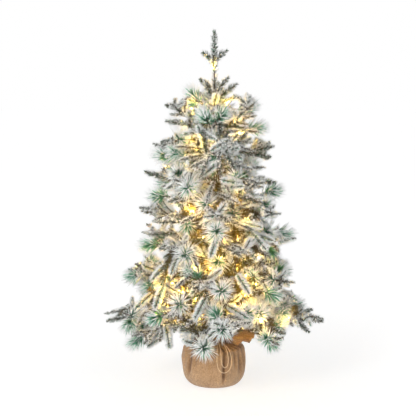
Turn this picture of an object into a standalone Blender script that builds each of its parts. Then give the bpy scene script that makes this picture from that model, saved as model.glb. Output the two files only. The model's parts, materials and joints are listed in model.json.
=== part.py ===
"""Artificial tabletop tree, pre-lit, standing in a tied burlap sack. Blender 4.5, metres, +Z up.

The origin is on the ground at the middle of the base, and the front of the tree faces -Y. A plastic pot
with a cement fill holds a steel pole. Branch wires leave the wrapped pole in eight tiers and bend at their
roots, so each branch object has its origin on that bend, with its stem along its own +X. A battery case is
clipped to the back of the trunk, above the gathered neck of the sack.
"""

import math

import bmesh
import bpy
from mathutils import Matrix, Vector

MM = 0.001
GAP = 0.3 * MM  # between pieces that touch

# Driving dimensions
TREE_HEIGHT = 900 * MM
NECK_HEIGHT = 116.5 * MM
KNOT_AZIMUTH = -60
POLE_RADIUS = 5 * MM
POLE_WALL = 1.2 * MM
POLE_FOOT = 8 * MM
POLE_TOP = 700 * MM

# Branches: each tier's root height, reach from the trunk's axis, elevation and the azimuths of its branches
TIERS = (
    (194 * MM, 215 * MM, -15.0, (256, 316, 16, 78, 138, 198)),
    (240 * MM, 280 * MM, -11.5, (278, 344, 50, 122, 192)),
    (300 * MM, 226 * MM, -4.0, (262, 330, 30, 100, 182)),
    (366 * MM, 206 * MM, 2.0, (236, 294, 354, 66, 156)),
    (436 * MM, 190 * MM, 6.0, (272, 328, 110, 196)),
    (506 * MM, 176 * MM, 10.0, (236, 312, 55, 152)),
    (578 * MM, 154 * MM, 14.0, (284, 8, 188)),
    (650 * MM, 122 * MM, 30.0, (322, 85, 205)),
)
ROOT_STAGGER = 4 * MM  # neighbours in a tier leave the trunk this far above and below its height
WIRE_RADIUS = 1.6 * MM
CORE_RADIUS = 4.6 * MM  # the stiff inner part of the needles round a stem
BARE_SHARE = 0.36  # of a stem, with no needles
STEM_BOW = 0.03  # rise of a stem's end over its straight line, as a share of its length
SIDE_TIPS = ((0.42, 0.30, 35.0), (0.66, 0.24, 35.0))  # start and length as shares of the stem, and splay
SHORT_STEM = 150 * MM  # stems under this have the first pair of side tips only
TIP_LIFT = 5.0  # degrees that side tips rise above their branch's plane

# Pine cones: tier, branch and share of the stem that each hangs from
CONES = ((0, 0, 0.58), (4, 2, 0.60), (3, 1, 0.38), (4, 3, 0.60), (4, 0, 0.58), (4, 1, 0.62), (5, 0, 0.60))
CONE_LENGTH = 34 * MM
CONE_RADIUS = 11.5 * MM
CONE_TILT = 28.0  # degrees that a cone leans out from its branch's underside

# Trunk
WRAP_RADIUS = 7 * MM
WRAP_BEAD = 0.6 * MM
ROOT_RADIUS = WRAP_RADIUS + WRAP_BEAD + 0.4 * MM + WIRE_RADIUS  # from the trunk's axis to a root's bend
WRAP_FOOT = 122 * MM
LEAD_RADIUS = 1 * MM
LEAD_TURN = 100  # degrees that the lead winds round the trunk between tiers, at least

# Battery case, for three AA cells lying side by side
CELL_RADIUS = 7.1 * MM
CELL_LENGTH = 50.5 * MM
CELL_PITCH = 15 * MM
CASE_WALL = 1.6 * MM
CASE_BAY = (59 * MM, 16.6 * MM, 45.6 * MM)
CASE_FRONT = 11.5 * MM
CASE_FOOT = 124 * MM
SWITCH_BAY = 14 * MM
CLIP_WALL = 2.4 * MM
COVER_THICKNESS = 2 * MM
SWITCH_TRAVEL = 4 * MM

TWINE_RADIUS = 1 * MM
SEGMENTS = 32
SHARP_ANGLE = 35  # degrees between faces, above which an edge stays crisp


def clear_scene():
    for obj in list(bpy.data.objects):
        bpy.data.objects.remove(obj)


def material(name, colour, roughness, metallic=0.0):
    made = bpy.data.materials.new(name)
    made.use_nodes = True
    shader = made.node_tree.nodes["Principled BSDF"]
    shader.inputs["Base Color"].default_value = (*colour, 1.0)
    shader.inputs["Roughness"].default_value = roughness
    shader.inputs["Metallic"].default_value = metallic
    return made


def add_object(name, mesh, finish=None):
    obj = bpy.data.objects.new(name, mesh)
    bpy.context.scene.collection.objects.link(obj)
    if finish is not None and not mesh.materials:
        mesh.materials.append(finish)
    return obj


def close_up(bm, mesh):
    """Writes a bmesh to a mesh, with its seams joined, its faces pointing out and its round parts smooth."""
    bmesh.ops.remove_doubles(bm, verts=bm.verts, dist=1e-6)
    bmesh.ops.recalc_face_normals(bm, faces=bm.faces)
    bm.to_mesh(mesh)
    bm.free()
    mesh.shade_smooth()
    mesh.set_sharp_from_angle(angle=math.radians(SHARP_ANGLE))
    return mesh


def object_from(bm, name, finish=None):
    return add_object(name, close_up(bm, bpy.data.meshes.new(name)), finish)


def evaluated_mesh(obj):
    """The mesh of an object as its curve settings and modifiers make it, with its caps joined to its sides."""
    bpy.context.view_layer.update()
    graph = bpy.context.evaluated_depsgraph_get()
    mesh = bpy.data.meshes.new_from_object(obj.evaluated_get(graph))
    bm = bmesh.new()
    bm.from_mesh(mesh)
    return close_up(bm, mesh)


def combine(obj, other, operation):
    """Joins obj with another object, or cuts it by one, which is used up."""
    modifier = obj.modifiers.new("combine", "BOOLEAN")
    modifier.operation = operation
    modifier.solver = "EXACT"
    modifier.object = other
    mesh = evaluated_mesh(obj)
    obj.modifiers.clear()
    obj.data = mesh
    bpy.data.objects.remove(other)
    return obj


def turned(name, outline, segments=SEGMENTS, closed=False, finish=None):
    """A solid of revolution about Z. The outline's points run from axis to axis, or in a closed loop."""
    bm = bmesh.new()
    verts = [bm.verts.new((radius, 0, height)) for radius, height in outline]
    after = verts[1:] + verts[:1] if closed else verts[1:]
    edges = [bm.edges.new(pair) for pair in zip(verts, after)]
    bmesh.ops.spin(
        bm, geom=verts + edges, axis=(0, 0, 1), cent=(0, 0, 0), angle=math.tau, steps=segments, use_merge=True
    )
    return object_from(bm, name, finish)


def block(name, low, high, bevel=0.0, finish=None):
    """A box between two corners, with all its edges rounded off by the bevel."""
    bm = bmesh.new()
    bmesh.ops.create_cube(bm, size=1.0)
    low, high = Vector(low), Vector(high)
    bmesh.ops.scale(bm, vec=high - low, verts=bm.verts)
    bmesh.ops.translate(bm, vec=(low + high) / 2, verts=bm.verts)
    if bevel:
        bmesh.ops.bevel(bm, geom=bm.edges[:], offset=bevel, segments=1, affect="EDGES")
    return object_from(bm, name, finish)


def tube(name, points, radii, resolution=1, finish=None):
    """A closed tube through the points. One radius for all of them, or one for each."""
    if isinstance(radii, float):
        radii = [radii] * len(points)
    curve = bpy.data.curves.new(name, "CURVE")
    curve.dimensions = "3D"
    curve.bevel_depth = 1.0
    curve.bevel_resolution = resolution
    curve.use_fill_caps = True
    spline = curve.splines.new("POLY")
    spline.points.add(len(points) - 1)
    for knot, point, radius in zip(spline.points, points, radii):
        knot.co = (*point, 1.0)
        knot.radius = radius
    rod = add_object(name, curve)
    mesh = evaluated_mesh(rod)
    bpy.data.objects.remove(rod)
    return add_object(name, mesh, finish)


def smooth_route(points, count):
    """Evenly spaced points on a Catmull-Rom curve through the route's own points."""
    points = [Vector(p) for p in points]
    padded = [2 * points[0] - points[1], *points, 2 * points[-1] - points[-2]]
    fine = []
    for a, b, c, d in zip(padded, padded[1:], padded[2:], padded[3:]):
        for step in range(20):
            t = step / 20
            bend = (2 * a - 5 * b + 4 * c - d) * t**2 + (3 * b - a - 3 * c + d) * t**3
            fine.append(0.5 * (2 * b + (c - a) * t + bend))
    fine.append(points[-1])
    along = [0.0]
    for a, b in zip(fine, fine[1:]):
        along.append(along[-1] + (b - a).length)
    spaced, i = [], 0
    for k in range(count):
        at = along[-1] * k / (count - 1)
        while i < len(fine) - 2 and along[i + 1] < at:
            i += 1
        share = (at - along[i]) / max(along[i + 1] - along[i], 1e-12)
        spaced.append(fine[i].lerp(fine[i + 1], min(share, 1.0)))
    return spaced


def polar(azimuth, radius, height):
    angle = math.radians(azimuth)
    return Vector((radius * math.cos(angle), radius * math.sin(angle), height))


# The base


def make_pot(finish):
    """The pot is moulded in one piece with the sleeve in its middle that holds the pole."""
    foot, rim, floor, bore = 2.6 * MM, 95 * MM, 5 * MM, POLE_RADIUS + GAP
    outline = (
        (0, foot),
        (48.5 * MM, foot),
        (62 * MM, 7.2 * MM),
        (67 * MM, 14 * MM),
        (70.5 * MM, rim - 3 * MM),
        (72 * MM, rim),
        (69 * MM, rim),
        (64.4 * MM, 15 * MM),
        (60.2 * MM, 9.4 * MM),
        (47.5 * MM, floor),
        (12 * MM, floor),
        (bore + 2.4 * MM, floor + 3 * MM),
        (bore + 1.8 * MM, rim),
        (bore, rim),
        (bore, POLE_FOOT - GAP),
        (0, POLE_FOOT - GAP),
    )
    return turned("base_pot", outline, finish=finish)


def make_weight(finish):
    low, high = 5 * MM + GAP, 50 * MM
    outline = (
        (13 * MM, low),
        (46.5 * MM, low),
        (59.5 * MM, 10 * MM),
        (63.8 * MM, 15.5 * MM),
        (66 * MM, high),
        (8.6 * MM, high),
        (8.9 * MM, low + 4 * MM),
    )
    return turned("base_weight", outline, closed=True, finish=finish)


SACK_OUTLINE = (
    (50, 0),
    (66, 5),
    (76, 16),
    (81, 34),
    (82, 58),
    (80.5, 82),
    (76, 97),
    (66, 106),
    (46, 109.5),
    (24, 110.5),
    (15.5, 111.5),
    (14.5, 116.5),
    (15.5, 121.5),
)
CLOTH = 2 * MM
NECK_BORE = 8.4 * MM
NECK_TOP = 123 * MM  # the bunched cloth fills the neck from here down to its underside
NECK_UNDERSIDE = 110 * MM

# The mouth of the sack is a square cloth's edge: its corners stand out as ears. Azimuth, reach and height
MOUTH = (
    (334, 112, 131),
    (351, 118, 158),
    (12, 66, 115),
    (150, 62, 115),
    (190, 84, 133),
    (228, 42, 137),
    (262, 56, 142),
    (305, 45, 138),
)


def mouth_at(azimuth):
    """Reach and height of the cloth's edge at an azimuth, eased between the corners and hollows of MOUTH."""
    for i, (start, reach, height) in enumerate(MOUTH):
        end, next_reach, next_height = MOUTH[(i + 1) % len(MOUTH)]
        span = (end - start) % 360
        past = (azimuth - start) % 360
        if past < span:
            ease = (1 - math.cos(math.pi * past / span)) / 2
            return (reach + (next_reach - reach) * ease) * MM, (height + (next_height - height) * ease) * MM
    return MOUTH[0][1] * MM, MOUTH[0][2] * MM


def mouth_ring(share, inside):
    """A ring of the gathered cloth above the tie, from its neck at share 0 to its edge at share 1."""
    ring = []
    for step in range(SEGMENTS):
        azimuth = 360 * step / SEGMENTS
        reach, height = mouth_at(azimuth)
        neck_radius, neck_height = SACK_OUTLINE[-1][0] * MM, SACK_OUTLINE[-1][1] * MM
        radius = neck_radius + (reach - neck_radius) * share
        lift = neck_height + (height - neck_height) * share**0.8 + 2 * MM * math.sin(math.pi * share)
        if inside:
            radius -= CLOTH * 0.4
            lift += CLOTH * 0.8
        ring.append(polar(azimuth, radius, lift))
    return ring


def circle(radius, height):
    return [polar(360 * i / SEGMENTS, radius, height) for i in range(SEGMENTS)]


def make_sack(finish):
    """One closed cloth skin round the pot, open at the mouth, thick where it is bunched in the neck."""
    outside = [circle(radius * MM, height * MM) for radius, height in SACK_OUTLINE]
    outside += [mouth_ring(share, False) for share in (0.3, 0.65, 1.0)]
    inside = [mouth_ring(share, True) for share in (1.0, 0.65, 0.3)]
    inside += [circle(NECK_BORE, NECK_TOP), circle(NECK_BORE, NECK_UNDERSIDE)]
    inside.append(circle(NECK_BORE + 13.6 * MM, NECK_UNDERSIDE - 1.5 * MM))
    inner_wall = [(radius * MM - CLOTH, height * MM - CLOTH) for radius, height in SACK_OUTLINE[7:9]]
    inner_wall += [(radius * MM - CLOTH, height * MM) for radius, height in SACK_OUTLINE[2:7]]
    inner_wall = sorted(inner_wall, key=lambda point: -point[1])
    inside += [circle(*point) for point in inner_wall]
    inside += [circle(64.9 * MM, 7 * MM), circle(49.5 * MM, CLOTH + 0.2 * MM)]
    bm = bmesh.new()
    rings = [[bm.verts.new(point) for point in ring] for ring in outside + inside]
    for low, high in zip(rings, rings[1:]):
        for i in range(SEGMENTS):
            bm.faces.new((low[i - 1], low[i], high[i], high[i - 1]))
    bm.faces.new(rings[0])
    bm.faces.new(rings[-1])
    return object_from(bm, "burlap_sack", finish)


def make_tie(finish):
    """Twine wound three times round the neck."""
    turns, per_turn, pitch = 3, 14, 2.1 * MM
    radius = 15.5 * MM + TWINE_RADIUS + 2.5 * GAP
    points = []
    for i in range(turns * per_turn + 1):
        turn = i / per_turn
        points.append(polar(KNOT_AZIMUTH + 360 * turn, radius, NECK_HEIGHT + pitch * (turn - turns / 2)))
    return tube("twine_tie", points, TWINE_RADIUS, finish=finish)


# Routes of the bow's two loops, as azimuth, radius and height in degrees and millimetres. They leave the knot
# on the tie, lie on the shoulder of the sack and hang down its front.
OUTER_LOOP = (
    (-62, 19.8, 118),
    (-70, 25, 116.5),
    (-78, 40, 114),
    (-82, 56, 110.8),
    (-84, 70, 105.5),
    (-85, 79.5, 95),
    (-85.5, 83.6, 80),
    (-84.5, 84.8, 66),
    (-81, 84.9, 54.5),
    (-74, 84.8, 48.5),
    (-67, 84.8, 51),
    (-62, 84.9, 59),
    (-59.5, 84.6, 71),
    (-59, 83, 84),
    (-59.5, 78.5, 97),
    (-60, 69, 106.5),
    (-60.5, 56, 111),
    (-60.5, 40, 114),
    (-58, 25, 116.5),
    (-53, 19.8, 118),
)
INNER_LOOP = (
    (-64, 21, 121.5),
    (-70, 28, 120.5),
    (-75, 42, 117.8),
    (-77, 57, 114.5),
    (-78, 72, 107.5),
    (-78.5, 82, 96),
    (-78.5, 86.6, 81),
    (-77, 87.2, 69),
    (-72.5, 87.2, 62.5),
    (-68, 87.2, 67.5),
    (-66.2, 86.8, 79),
    (-65.8, 82, 95),
    (-66, 72, 107.5),
    (-66, 57, 114.5),
    (-65, 42, 117.8),
    (-60, 28, 120.5),
    (-53, 21, 121.5),
)


def make_loop(name, route, count, finish):
    points = [polar(azimuth, radius * MM, height * MM) for azimuth, radius, height in route]
    return tube(name, smooth_route(points, count), TWINE_RADIUS, resolution=2, finish=finish)


# The trunk


def make_pole(finish):
    outline = (
        (POLE_RADIUS, POLE_FOOT),
        (POLE_RADIUS, POLE_TOP),
        (POLE_RADIUS - POLE_WALL, POLE_TOP),
        (POLE_RADIUS - POLE_WALL, POLE_FOOT),
    )
    return turned("trunk_pole", outline, segments=16, closed=True, finish=finish)


def make_wrap(finish):
    """The film wound over the pole and the ends of the wires, with a bead at each tier."""
    outline = [(POLE_RADIUS + GAP, WRAP_FOOT), (WRAP_RADIUS, WRAP_FOOT)]
    for height, *_ in TIERS:
        outline += [
            (WRAP_RADIUS, height - 12 * MM),
            (WRAP_RADIUS + WRAP_BEAD, height - 8 * MM),
            (WRAP_RADIUS + WRAP_BEAD, height + 8 * MM),
            (WRAP_RADIUS, height + 12 * MM),
        ]
    outline += [(WRAP_RADIUS, POLE_TOP - 2 * MM), (POLE_RADIUS + GAP, POLE_TOP - 2 * MM)]
    return turned("trunk_wrap", outline, segments=12, closed=True, finish=finish)


def lead_route():
    """The light lead climbs the trunk: straight up between two branches at each tier, winding in between."""
    radius = WRAP_RADIUS + WRAP_BEAD + GAP + LEAD_RADIUS
    azimuth, points = 70.0, []  # it starts beside the case's clip
    foot = CASE_FOOT + CASE_BAY[2] + 2 * CASE_WALL + 2 * GAP
    points.append(Vector((7 * MM, CASE_FRONT + 5 * MM, foot)))
    points.append(Vector((6 * MM, CASE_FRONT + 2.5 * MM, foot + 5 * MM)))
    height = foot + 6 * MM
    for tier, (tier_height, _, _, azimuths) in enumerate(TIERS):
        ordered = sorted(azimuths)
        gaps = [(a + ((b - a) % 360) / 2) % 360 for a, b in zip(ordered, ordered[1:] + ordered[:1])]
        if tier == 0:
            target = min(gaps, key=lambda gap: abs(gap - azimuth))
        else:
            target = min(azimuth + LEAD_TURN + (gap - azimuth - LEAD_TURN) % 360 for gap in gaps)
        below = tier_height - 11 * MM
        steps = max(1, math.ceil((target - azimuth) / 30))
        for step in range(1, steps + 1):
            share = step / steps
            climb = height + (below - height) * share
            points.append(polar(azimuth + (target - azimuth) * share, radius, climb))
        azimuth, height = target, tier_height + 11 * MM
        points.append(polar(azimuth, radius, height))
    return points


def make_lead(finish):
    return tube("light_lead", lead_route(), LEAD_RADIUS, finish=finish)


# The branches


def stem_point(length, share):
    return Vector((length * share, 0, STEM_BOW * length * share**2))


def side_tips(length):
    """Start, end and end radius of each side tip, in the branch's own axes."""
    pairs = SIDE_TIPS if length >= SHORT_STEM else SIDE_TIPS[:1]
    for start, reach, splay in pairs:
        for side in (-1, 1):
            turn = math.radians(splay) * side
            lift = math.radians(TIP_LIFT)
            heading = Vector((math.cos(turn) * math.cos(lift), math.sin(turn) * math.cos(lift), math.sin(lift)))
            begin = stem_point(length, start)
            yield begin, begin + heading * reach * length


def make_branch_mesh(length):
    """A wire stem with the stiff core of its needles, and its side tips, as one solid."""
    shares = (0, BARE_SHARE - 0.03, BARE_SHARE + 0.05, 0.88, 1.0)
    radii = (WIRE_RADIUS, WIRE_RADIUS, CORE_RADIUS, CORE_RADIUS, 1.5 * MM)
    branch = tube("branch", [stem_point(length, share) for share in shares], radii)
    for begin, end in side_tips(length):
        points = [begin, begin.lerp(end, 0.75), end]
        combine(branch, tube("side_tip", points, (0.8 * CORE_RADIUS, CORE_RADIUS, 1.5 * MM)), "UNION")
    mesh = branch.data
    bpy.data.objects.remove(branch)
    return mesh


def make_branches(finish):
    branches = {}
    for tier, (height, reach, elevation, azimuths) in enumerate(TIERS):
        tilt = math.radians(elevation)
        mesh = make_branch_mesh((reach - ROOT_RADIUS) / math.cos(tilt))
        for index, azimuth in enumerate(azimuths):
            branch = add_object(f"branch_{tier + 1}_{index + 1}", mesh, finish)
            root = polar(azimuth, ROOT_RADIUS, height + ROOT_STAGGER * (-1) ** index)
            turn = Matrix.Rotation(math.radians(azimuth), 4, "Z") @ Matrix.Rotation(-tilt, 4, "Y")
            branch.matrix_world = Matrix.Translation(root) @ turn
            branches[tier, index] = branch
    return branches


def make_cones(branches, finish):
    """Pine cones that hang from their branch, pointing out and down."""
    outline = (
        (0, 0),
        (2.5 * MM, 0),
        (0.8 * CONE_RADIUS, -0.16 * CONE_LENGTH),
        (CONE_RADIUS, -0.38 * CONE_LENGTH),
        (0.85 * CONE_RADIUS, -0.66 * CONE_LENGTH),
        (0.45 * CONE_RADIUS, -0.9 * CONE_LENGTH),
        (0, -CONE_LENGTH),
    )
    for number, (tier, index, share) in enumerate(CONES, 1):
        branch = branches[tier, index]
        _, reach, elevation, _ = TIERS[tier]
        length = (reach - ROOT_RADIUS) / math.cos(math.radians(elevation))
        cone = turned(f"pine_cone_{number}", outline, segments=10, finish=finish)
        cone.parent = branch
        hang = stem_point(length, share) - Vector((0, 0, CORE_RADIUS + 3 * GAP))
        cone.matrix_local = Matrix.Translation(hang) @ Matrix.Rotation(math.radians(-CONE_TILT), 4, "Y")


# The top's whorls: start height, length of the tips, their elevation and azimuths
WHORLS = (
    (742 * MM, 72 * MM, 58.0, (200, 330, 80)),
    (808 * MM, 48 * MM, 42.0, (185, 355, 95)),
)


def make_spire(finish):
    """The top of the tree: a wire plugged into the pole, with two whorls of tips under its leader."""
    plug_radius = POLE_RADIUS - POLE_WALL - GAP
    shoulder = POLE_TOP + 4 * MM
    leader = (
        (POLE_TOP - 24 * MM, plug_radius),
        (shoulder, plug_radius),
        (shoulder + 2 * MM, 2 * MM),
        (728 * MM, 2 * MM),
        (738 * MM, CORE_RADIUS),
        (TREE_HEIGHT - 18 * MM, CORE_RADIUS),
        (TREE_HEIGHT, 1.2 * MM),
    )
    points = [(0, 0, height) for height, _ in leader]
    spire = tube("top_spire", points, [radius for _, radius in leader])
    for height, length, elevation, azimuths in WHORLS:
        tilt = math.radians(elevation)
        for index, azimuth in enumerate(azimuths):
            begin = Vector((0, 0, height + 4 * MM * index))
            heading = polar(azimuth, math.cos(tilt), math.sin(tilt))
            points = [begin, begin + heading * length * 0.75, begin + heading * length]
            combine(spire, tube("tip", points, (0.6 * CORE_RADIUS, CORE_RADIUS, 1.5 * MM)), "UNION")
    spire.data.materials.clear()
    spire.data.materials.append(finish)
    return spire


# The battery case


def bay_centre():
    """The middle of the cells' bay."""
    return Vector((0, CASE_FRONT + CASE_WALL + CASE_BAY[1] / 2, CASE_FOOT + CASE_WALL + CASE_BAY[2] / 2))


def make_case(finish):
    """An open box for the cells, with a closed bay for the switch beside it and a clip that grips the trunk."""
    centre = bay_centre()
    half = Vector(CASE_BAY) / 2
    low = centre - half - Vector((CASE_WALL, CASE_WALL, CASE_WALL))
    high = centre + half + Vector((CASE_WALL + SWITCH_BAY, 0, CASE_WALL))
    case = block("battery_case", low, high, bevel=0.8 * MM, finish=finish)
    bay_high = centre + half + Vector((0, 5 * MM, 0))
    combine(case, block("bay", centre - half, bay_high), "DIFFERENCE")
    slot_low, slot_high = switch_slot()
    combine(case, block("slot", slot_low, slot_high), "DIFFERENCE")
    return combine(case, make_clip(), "UNION")


def make_clip():
    """A ring round the trunk with an open front, and the foot that joins it to the case."""
    bore, outer = WRAP_RADIUS + GAP, WRAP_RADIUS + GAP + CLIP_WALL
    below, above = CASE_FOOT + 10 * MM, CASE_FOOT + 34 * MM
    outline = ((bore, below), (outer, below), (outer, above), (bore, above))
    clip = turned("clip", outline, segments=24, closed=True)
    mouth_low = Vector((-2 * outer, -2 * outer, below - 1 * MM))
    mouth_high = Vector((2 * outer, -2.5 * MM, above + 1 * MM))
    combine(clip, block("mouth", mouth_low, mouth_high), "DIFFERENCE")
    foot_low = Vector((-5 * MM, WRAP_RADIUS + CLIP_WALL / 2, below))
    foot_high = Vector((5 * MM, CASE_FRONT + 1 * MM, above))
    return combine(clip, block("clip_foot", foot_low, foot_high), "UNION")


def switch_slot():
    """The recess in the case's back face that the slider runs in."""
    centre = bay_centre()
    back = centre.y + CASE_BAY[1] / 2
    middle = centre.x + (CASE_BAY[0] + CASE_WALL + SWITCH_BAY) / 2
    low = Vector((middle - 3 * MM, back - 3 * MM, centre.z - 5 * MM))
    high = Vector((middle + 3 * MM, back + 2 * MM, centre.z + 5 * MM))
    return low, high


def make_switch(finish):
    """The slider, at the upper end of its slot, where the lights are on."""
    low, high = switch_slot()
    gap = Vector((GAP, GAP, GAP))
    body_low = Vector((low.x, low.y, low.z + SWITCH_TRAVEL)) + gap
    body_high = Vector((high.x, high.y - 1 * MM, high.z)) - gap
    return block("switch_slider", body_low, body_high, bevel=0.3 * MM, finish=finish)


def make_cover(finish):
    """The cover lies on the case's open side and slides off towards -X. Raised ribs give the thumb a grip."""
    centre = bay_centre()
    back = centre.y + CASE_BAY[1] / 2 + GAP
    half_width, half_height = CASE_BAY[0] / 2 + CASE_WALL, CASE_BAY[2] / 2 + CASE_WALL
    low = Vector((centre.x - half_width, back, centre.z - half_height))
    high = Vector((centre.x + half_width, back + COVER_THICKNESS, centre.z + half_height))
    cover = block("battery_cover", low, high, bevel=0.6 * MM, finish=finish)
    for step in range(3):
        left = centre.x - half_width + (8 + 4 * step) * MM
        rib_low = Vector((left, back + COVER_THICKNESS - 0.5 * MM, centre.z - 8 * MM))
        rib_high = Vector((left + 1.6 * MM, back + COVER_THICKNESS + 0.9 * MM, centre.z + 8 * MM))
        combine(cover, block("rib", rib_low, rib_high), "UNION")
    return cover


def make_cells(finish):
    """Three AA cells across the case, the middle one the other way round."""
    outline = (
        (0, 0),
        (CELL_RADIUS - 0.6 * MM, 0),
        (CELL_RADIUS, 0.6 * MM),
        (CELL_RADIUS, CELL_LENGTH - 2 * MM),
        (CELL_RADIUS - 0.6 * MM, CELL_LENGTH - 1.4 * MM),
        (2.6 * MM, CELL_LENGTH - 1.4 * MM),
        (2.6 * MM, CELL_LENGTH),
        (0, CELL_LENGTH),
    )
    for number, facing in enumerate((1, -1, 1), 1):
        cell = turned(f"cell_{number}", outline, segments=16, finish=finish)
        end = bay_centre() + Vector((facing * (CASE_BAY[0] / 2 - 1.3 * MM), 0, (number - 2) * CELL_PITCH))
        turn = Matrix.Rotation(math.radians(90 * facing), 4, "Y")
        cell.matrix_world = Matrix.Translation(end) @ turn @ Matrix.Translation((0, 0, -CELL_LENGTH))


def make_contacts(finish):
    """At each end of the bay a plate, with a coned spring under the flat end of each cell that meets it."""
    centre = bay_centre()
    plate = 0.7 * MM
    spring = CASE_BAY[0] - CELL_LENGTH - 1.3 * MM - plate - 3 * GAP
    for side, sprung in (("left", (1, 3)), ("right", (2,))):
        sign = -1 if side == "left" else 1
        wall = centre.x + sign * (CASE_BAY[0] / 2 - GAP)
        inner = wall - sign * plate
        low = Vector((min(wall, inner), centre.y - 5 * MM, centre.z - 21 * MM))
        high = Vector((max(wall, inner), centre.y + 5 * MM, centre.z + 21 * MM))
        contact = block(f"contact_{side}", low, high, finish=finish)
        for number in sprung:
            height = centre.z + (number - 2) * CELL_PITCH
            points = [(inner + sign * 0.3 * MM, centre.y, height), (inner - sign * spring, centre.y, height)]
            combine(contact, tube("spring", points, (4.5 * MM, 2.8 * MM)), "UNION")


def main():
    clear_scene()
    burlap = material("burlap", (0.46, 0.28, 0.15), 0.95)
    twine = material("twine", (0.55, 0.36, 0.20), 0.9)
    clay = material("cement", (0.45, 0.44, 0.42), 0.9)
    black_plastic = material("black_plastic", (0.03, 0.03, 0.03), 0.5)
    steel = material("steel", (0.55, 0.56, 0.57), 0.35, 1.0)
    brown_film = material("brown_film", (0.12, 0.08, 0.05), 0.7)
    needles = material("frosted_needles", (0.42, 0.48, 0.42), 0.8)
    scales = material("cone_scales", (0.45, 0.38, 0.31), 0.85)
    lead_sheath = material("lead_sheath", (0.04, 0.08, 0.04), 0.5)
    cell_jacket = material("cell_jacket", (0.10, 0.16, 0.22), 0.35)
    nickel = material("nickel", (0.65, 0.63, 0.58), 0.3, 1.0)
    make_pot(black_plastic)
    make_weight(clay)
    make_sack(burlap)
    make_tie(twine)
    make_loop("twine_loop_outer", OUTER_LOOP, 40, twine)
    make_loop("twine_loop_inner", INNER_LOOP, 36, twine)
    make_pole(steel)
    make_wrap(brown_film)
    make_lead(lead_sheath)
    make_cones(make_branches(needles), scales)
    make_spire(needles)
    make_case(black_plastic)
    make_switch(black_plastic)
    make_cover(black_plastic)
    make_cells(cell_jacket)
    make_contacts(nickel)


main()
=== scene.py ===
"""The looks of a frosted tabletop tree in a burlap sack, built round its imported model.

Metres, +Z up, front at -Y.
"""

import json
import math

import bpy
import numpy as np
from mathutils import Matrix, Vector


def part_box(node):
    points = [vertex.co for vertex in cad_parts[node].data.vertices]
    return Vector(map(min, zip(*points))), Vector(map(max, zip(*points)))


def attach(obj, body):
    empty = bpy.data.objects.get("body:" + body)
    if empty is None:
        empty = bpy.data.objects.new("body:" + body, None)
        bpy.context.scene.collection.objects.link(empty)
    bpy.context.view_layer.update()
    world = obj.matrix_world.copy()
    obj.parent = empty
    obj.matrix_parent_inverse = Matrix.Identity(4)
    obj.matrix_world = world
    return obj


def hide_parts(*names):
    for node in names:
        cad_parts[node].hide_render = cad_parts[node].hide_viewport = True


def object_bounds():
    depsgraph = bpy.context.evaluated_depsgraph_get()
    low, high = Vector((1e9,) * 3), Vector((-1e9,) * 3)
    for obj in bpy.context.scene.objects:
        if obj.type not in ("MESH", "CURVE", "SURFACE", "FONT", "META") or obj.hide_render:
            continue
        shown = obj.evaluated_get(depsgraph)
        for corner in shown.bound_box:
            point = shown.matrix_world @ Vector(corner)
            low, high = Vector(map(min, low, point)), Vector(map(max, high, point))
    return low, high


MM = 0.001
GOLDEN_ANGLE = 137.5  # degrees from one to the next, which spreads things evenly round an axis

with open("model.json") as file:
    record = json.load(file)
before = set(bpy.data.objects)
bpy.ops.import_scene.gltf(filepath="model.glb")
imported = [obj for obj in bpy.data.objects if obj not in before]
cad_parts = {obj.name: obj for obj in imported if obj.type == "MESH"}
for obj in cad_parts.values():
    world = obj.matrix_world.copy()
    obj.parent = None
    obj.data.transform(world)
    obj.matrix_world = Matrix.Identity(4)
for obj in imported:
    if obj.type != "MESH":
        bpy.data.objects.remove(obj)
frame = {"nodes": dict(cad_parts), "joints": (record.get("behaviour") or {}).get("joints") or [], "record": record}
CAD_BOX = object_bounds()
HEIGHT = CAD_BOX[1].z
NODES = frame["nodes"]
BODIES = frame["record"]["behaviour"]["bodies"]
BODY_OF = {node: body for body, members in BODIES.items() for node in members}

CONE_BOXES = [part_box(node) for node in sorted(NODES) if node.startswith("pine_cone")]
CONE_CLEARANCE = 17 * MM

# What the battery cover sweeps as it slides off
COVER_JOINT = next(joint for joint in frame["joints"] if joint["child"] == BODY_OF["battery_cover"])
COVER_TRAVEL = Vector(COVER_JOINT["axis"]) * COVER_JOINT["range_m"][1]
COVER_LOW, COVER_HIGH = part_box("battery_cover")
PATH_LOW = Vector(map(min, COVER_LOW, COVER_LOW + COVER_TRAVEL))
PATH_HIGH = Vector(map(max, COVER_HIGH, COVER_HIGH + COVER_TRAVEL))
PATH_CLEARANCE = 14 * MM

# Camera and light
VIEW_ELEVATION = 7.0
VIEW_DISTANCE = 2.5
AIM = Vector((-16 * MM, 0, 0.507 * HEIGHT))
VIEW_FROM = AIM + VIEW_DISTANCE * Vector(
    (0, -math.cos(math.radians(VIEW_ELEVATION)), math.sin(math.radians(VIEW_ELEVATION)))
)
LENS = 85.0
WARM = (1.0, 0.62, 0.12)
AMBIENT = 0.50  # strength of the even light from all round. The camera sees the backdrop at 1
FLOOR_ALBEDO = 0.34
KEY_ON_FLOOR = 0.30  # what the lamps of the studio add to the even light on the floor beside the sack
LAMP_POWER = 0.058  # watts of each lamp's light on the needles round it
INNER_LAMP_POWER = 0.27
TOP_LAMP_POWER = 0.10

# Branches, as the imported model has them
STEM_BOW = 0.03
WIRE_RADIUS = 1.3 * MM

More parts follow.
